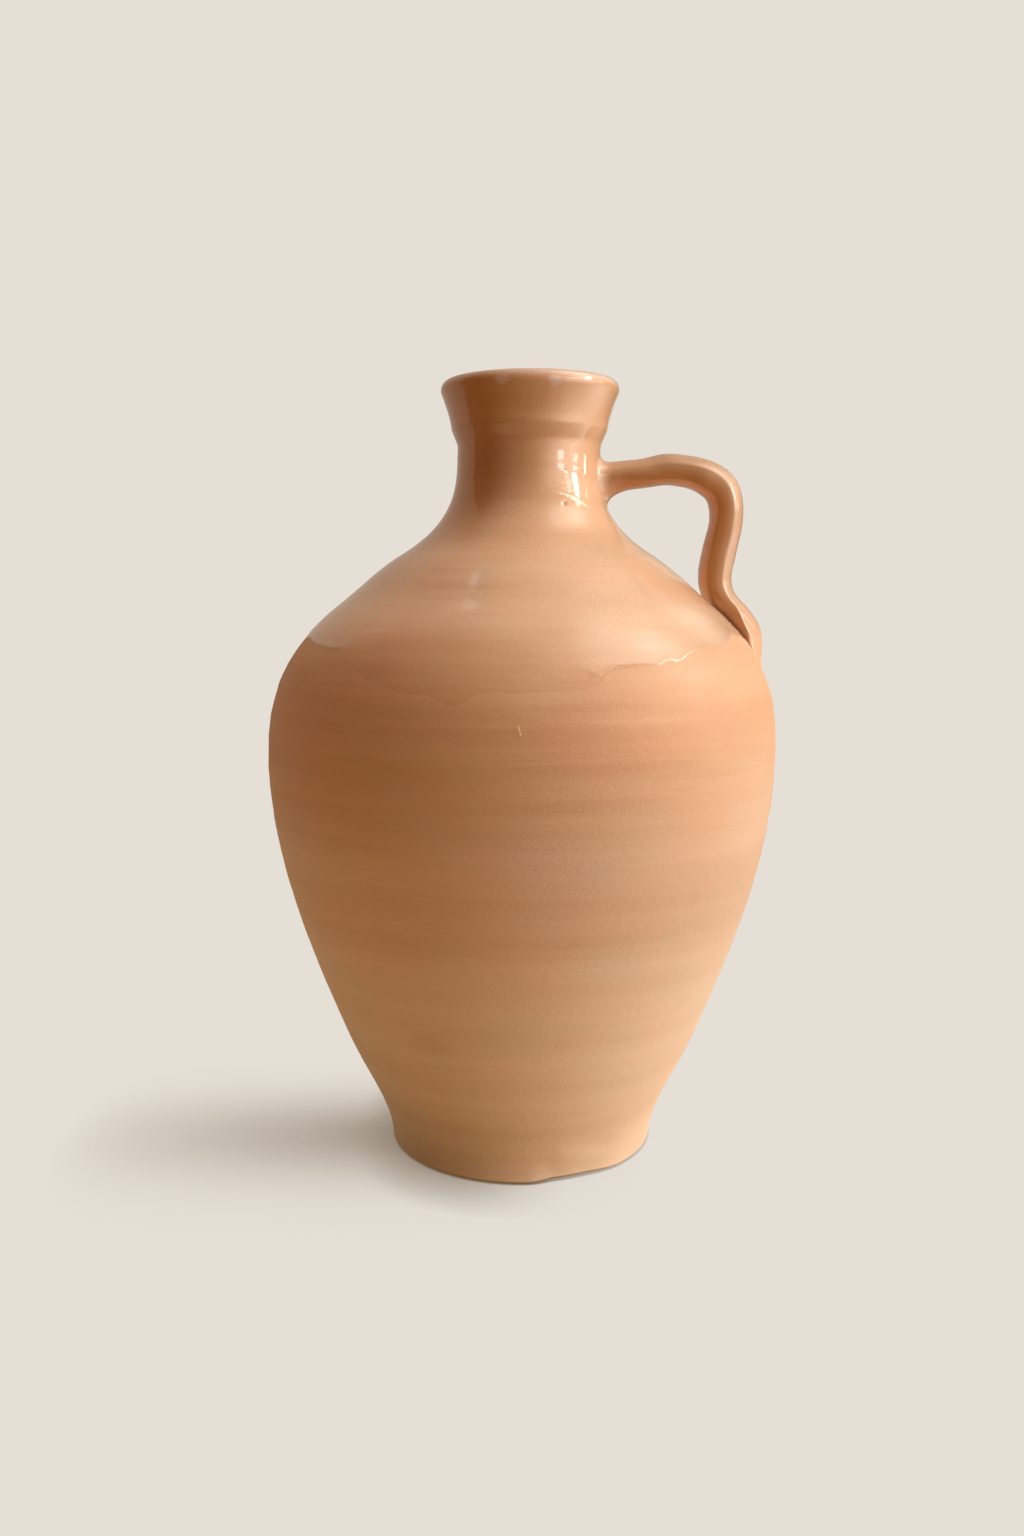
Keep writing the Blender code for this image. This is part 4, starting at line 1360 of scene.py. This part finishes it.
def dress(piece, material, slot, *nodes):
    piece.data.materials.clear()
    piece.data.materials.append(material)
    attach(piece, "root")
    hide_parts(*nodes)
    return piece


def make_camera():
    data = bpy.data.cameras.new("camera")
    data.lens = CAMERA_LENS
    data.sensor_width = SENSOR_WIDTH
    camera = bpy.data.objects.new("camera", data)
    camera.location = CAMERA_PLACE
    camera.rotation_euler = (math.radians(90 - CAMERA_PITCH), 0, 0)
    bpy.context.scene.collection.objects.link(camera)
    bpy.context.scene.camera = camera


def make_soft_lights(lit, shading):
    """A key light for the jug from the handle's side, a weak fill from the other, and a light for the floor.

    Only the walls throw a shadow. What the glaze mirrors comes from the world instead.
    """
    for what, strength, colour, fills, azimuth, elevation in SOFT_LIGHTS:
        data = bpy.data.lights.new(what + "_light", "SUN")
        data.energy = strength
        data.color = colour
        data.angle = math.radians(fills)
        light = bpy.data.objects.new(what + "_light", data)
        light.rotation_euler = (0, math.radians(90 - elevation), math.radians(azimuth))
        light.visible_glossy = False
        bpy.context.scene.collection.objects.link(light)
        light.light_linking.receiver_collection = bpy.data.collections.new("lit_" + what)
        for piece in lit[what]:
            light.light_linking.receiver_collection.objects.link(piece)
        light.light_linking.blocker_collection = bpy.data.collections.new("shading_" + what)
        for piece in shading:
            light.light_linking.blocker_collection.objects.link(piece)


def window_glow(tree, turn, rise, window):
    middle_turn, middle_rise, half_width, half_height, soft, lean, slope, strength = window
    off_turn = maths(tree, "SUBTRACT", turn, middle_turn)
    off_rise = maths(tree, "SUBTRACT", rise, middle_rise)
    aside = maths(tree, "ABSOLUTE", maths(tree, "MULTIPLY_ADD", off_rise, -lean, off_turn))
    above = maths(tree, "ABSOLUTE", maths(tree, "MULTIPLY_ADD", off_turn, -slope, off_rise))
    across = between(tree, aside, half_width, half_width * (1 - soft))
    upright = between(tree, above, half_height, half_height * (1 - soft))
    glow = maths(tree, "MULTIPLY", maths(tree, "MULTIPLY", across, upright), strength)
    scaled = add_node(tree, "ShaderNodeVectorMath", operation="SCALE")
    scaled.inputs[0].default_value = WINDOW_COLOUR
    tree.links.new(glow, scaled.inputs["Scale"])
    return scaled.outputs[0]


def studio_colour(tree, turn, rise):
    """What the glaze mirrors in a direction: the backdrop behind, a dim room, a ceiling, bright openings."""
    left, right = between(tree, turn, *BACKDROP_LEFT), between(tree, turn, *BACKDROP_RIGHT)
    behind = maths(tree, "MULTIPLY", left, right)
    studio = colour_mix(tree, behind, ROOM_COLOUR, BACKDROP_MIRRORED)
    studio = colour_mix(tree, between(tree, rise, *FLOOR_MIRRORED_RISE), studio, FLOOR_MIRRORED)
    studio = colour_mix(tree, between(tree, rise, *CEILING_RISE), studio, CEILING_COLOUR)
    for window in WINDOWS:
        studio = colour_mix(tree, 1.0, studio, window_glow(tree, turn, rise, window), "ADD")
    return studio


def covered_share(tree, towards, reach):
    """Share of the light from a side that the jug keeps off a place on the floor."""
    side = add_node(tree, "ShaderNodeCombineXYZ")
    for target, part in zip(side.inputs, towards):
        target.default_value = part
    open_share = add_node(tree, "ShaderNodeAmbientOcclusion", samples=SHADE_SAMPLES)
    open_share.inputs["Distance"].default_value = reach
    tree.links.new(side.outputs[0], open_share.inputs["Normal"])
    return maths(tree, "SUBTRACT", 1.0, open_share.outputs["AO"])


def floor_shade(tree, across, away):
    """Tint of the jug's shadows on the floor: the long one, the one close to the foot, the line under it."""
    covered = covered_share(tree, SHADOW_FROM, SHADOW_REACH)
    offset = maths(tree, "DIVIDE", maths(tree, "SUBTRACT", away, SHADOW_MIDDLE), SHADOW_SPREAD)
    strip = maths(tree, "EXPONENT", maths(tree, "MULTIPLY", maths(tree, "MULTIPLY", offset, offset), -1.0))
    strip = maths(tree, "MULTIPLY", strip, between(tree, across, *SHADOW_BEGINS))
    cast = maths(tree, "MULTIPLY", covered, strip)
    under = maths(tree, "MULTIPLY", covered_share(tree, CONTACT_FROM, CONTACT_REACH), CONTACT_SHARE)
    under = maths(tree, "MULTIPLY", under, between(tree, across, *CONTACT_BEGINS))
    line = between(tree, covered_share(tree, (0.0, 0.0, 1.0), FOOT_LINE_REACH), *FOOT_LINE_COVER)
    faded = maths(tree, "MULTIPLY_ADD", between(tree, across, *FOOT_LINE_FADES), -FOOT_LINE_FADE, 1.0)
    line = maths(tree, "MULTIPLY", maths(tree, "MULTIPLY", line, faded), FOOT_LINE_SHARE)
    deepest = maths(tree, "MAXIMUM", maths(tree, "MAXIMUM", cast, under), line)
    return colour_mix(tree, deepest, (1.0, 1.0, 1.0), SHADOW_TINT)


def make_floor():
    """Pale floor: plain and shadowed for the camera, warm where it lights the jug, a studio in the glaze."""
    bpy.ops.object.select_all(action="DESELECT")
    bpy.ops.mesh.primitive_plane_add(size=FLOOR_SIZE, location=(0, 0, 0))
    floor = bpy.context.active_object
    floor.name = "floor"
    made = bpy.data.materials.new("pale_floor")
    made.use_nodes = True
    tree = made.node_tree
    tree.nodes.remove(tree.nodes["Principled BSDF"])
    rays = add_node(tree, "ShaderNodeLightPath")
    split = add_node(tree, "ShaderNodeSeparateXYZ")
    tree.links.new(add_node(tree, "ShaderNodeTexCoord").outputs["Object"], split.inputs[0])
    across, away = split.outputs["X"], split.outputs["Y"]
    squared = maths(tree, "MULTIPLY_ADD", across, across, maths(tree, "MULTIPLY", away, away))
    distance = maths(tree, "SQRT", squared)
    turn = maths(tree, "DEGREES", maths(tree, "ARCTAN2", across, away))
    drop = maths(tree, "DEGREES", maths(tree, "ARCTAN2", MIRROR_HEIGHT, distance))
    mirrored = add_node(tree, "ShaderNodeEmission")
    tree.links.new(studio_colour(tree, turn, maths(tree, "MULTIPLY", drop, -1.0)), mirrored.inputs["Color"])
    shaded = maths(tree, "MULTIPLY", between(tree, distance, *FLOOR_SHADED_REACH),
                   between(tree, across, *FLOOR_SHADED_SIDE))
    bounce = colour_mix(tree, shaded, FLOOR_BOUNCE_NEAR, FLOOR_BOUNCE_SHADED)
    bounce = colour_mix(tree, between(tree, distance, *FLOOR_BOUNCE_REACH), bounce, FLOOR_BOUNCE_FAR)
    lit = add_node(tree, "ShaderNodeBsdfDiffuse")
    tree.links.new(bounce, lit.inputs["Color"])
    unseen = add_node(tree, "ShaderNodeMixShader")
    tree.links.new(rays.outputs["Is Glossy Ray"], unseen.inputs[0])
    tree.links.new(lit.outputs[0], unseen.inputs[1])
    tree.links.new(mirrored.outputs[0], unseen.inputs[2])
    seen = add_node(tree, "ShaderNodeEmission")
    shown = colour_mix(tree, 1.0, floor_shade(tree, across, away), BACKDROP_COLOUR, "MULTIPLY")
    tree.links.new(shown, seen.inputs["Color"])
    surface = add_node(tree, "ShaderNodeMixShader")
    tree.links.new(rays.outputs["Is Camera Ray"], surface.inputs[0])
    tree.links.new(unseen.outputs[0], surface.inputs[1])
    tree.links.new(seen.outputs[0], surface.inputs[2])
    tree.links.new(surface.outputs[0], tree.nodes["Material Output"].inputs["Surface"])
    floor.data.materials.append(made)
    return floor


def make_world():
    """Plain backdrop for the camera, soft warm light for surfaces, and a studio for the glaze to mirror."""
    world = bpy.data.worlds.new("studio")
    bpy.context.scene.world = world
    world.use_nodes = True
    tree = world.node_tree
    rays = add_node(tree, "ShaderNodeLightPath")
    split = add_node(tree, "ShaderNodeSeparateXYZ")
    tree.links.new(add_node(tree, "ShaderNodeTexCoord").outputs["Generated"], split.inputs[0])
    x, y, z = split.outputs[0], split.outputs[1], split.outputs[2]
    turn = maths(tree, "DEGREES", maths(tree, "ARCTAN2", x, y))
    rise = maths(tree, "DEGREES", maths(tree, "ARCSINE", z))
    studio = studio_colour(tree, turn, rise)
    ambient = colour_mix(tree, between(tree, rise, *AMBIENT_ABOVE_RISE), AMBIENT_COLOUR, AMBIENT_ABOVE)
    mirrored_once = maths(tree, "LESS_THAN", rays.outputs["Glossy Depth"], FIRST_MIRROR)
    mirrors = maths(tree, "MULTIPLY", rays.outputs["Is Glossy Ray"], mirrored_once)
    lit = colour_mix(tree, mirrors, ambient, studio)
    shown = colour_mix(tree, rays.outputs["Is Camera Ray"], lit, BACKDROP_COLOUR)
    tree.links.new(shown, tree.nodes["Background"].inputs["Color"])


def main():
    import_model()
    clay = fired_clay_group()
    glaze = glaze_film_group()
    bare = bare_clay_material(clay)
    glazed = glazed_clay_material(
        "glazed_clay", clay, glaze, WALL_STREAKS, THIN_GLAZE_TINT, THICK_GLAZE_TINT,
    )
    glazed_handle = glazed_clay_material(
        "glazed_handle", clay, glaze, HANDLE_STREAKS, HANDLE_THIN_LIT_TINT, HANDLE_DEEP_SHADED_TINT,
    )
    walls = [
        dress(make_foot(), bare, "bare_clay", "base_slab", "base_slip_ring"),
        dress(make_wall("lower_wall"), bare, "bare_clay", "lower_body", "belly_slip_ring"),
        dress(make_wall("shoulder_wall"), glazed, "glazed_clay", "upper_body", "neck_slip_ring"),
        dress(make_wall("neck_wall"), glazed, "glazed_clay", "neck", "collar_slip_ring"),
        dress(make_mouth_rim(), glazed, "glazed_clay", "mouth_collar"),
    ]
    handle = dress(
        make_handle(), glazed_handle, "glazed_clay", "handle", "handle_root_wad", "handle_tail_wad",
    )
    make_soft_lights({"jug": walls + [handle], "floor": [make_floor()]}, walls)
    make_world()
    make_camera()
    bpy.context.scene.view_settings.view_transform = "Standard"
    bpy.context.view_layer.update()


main()
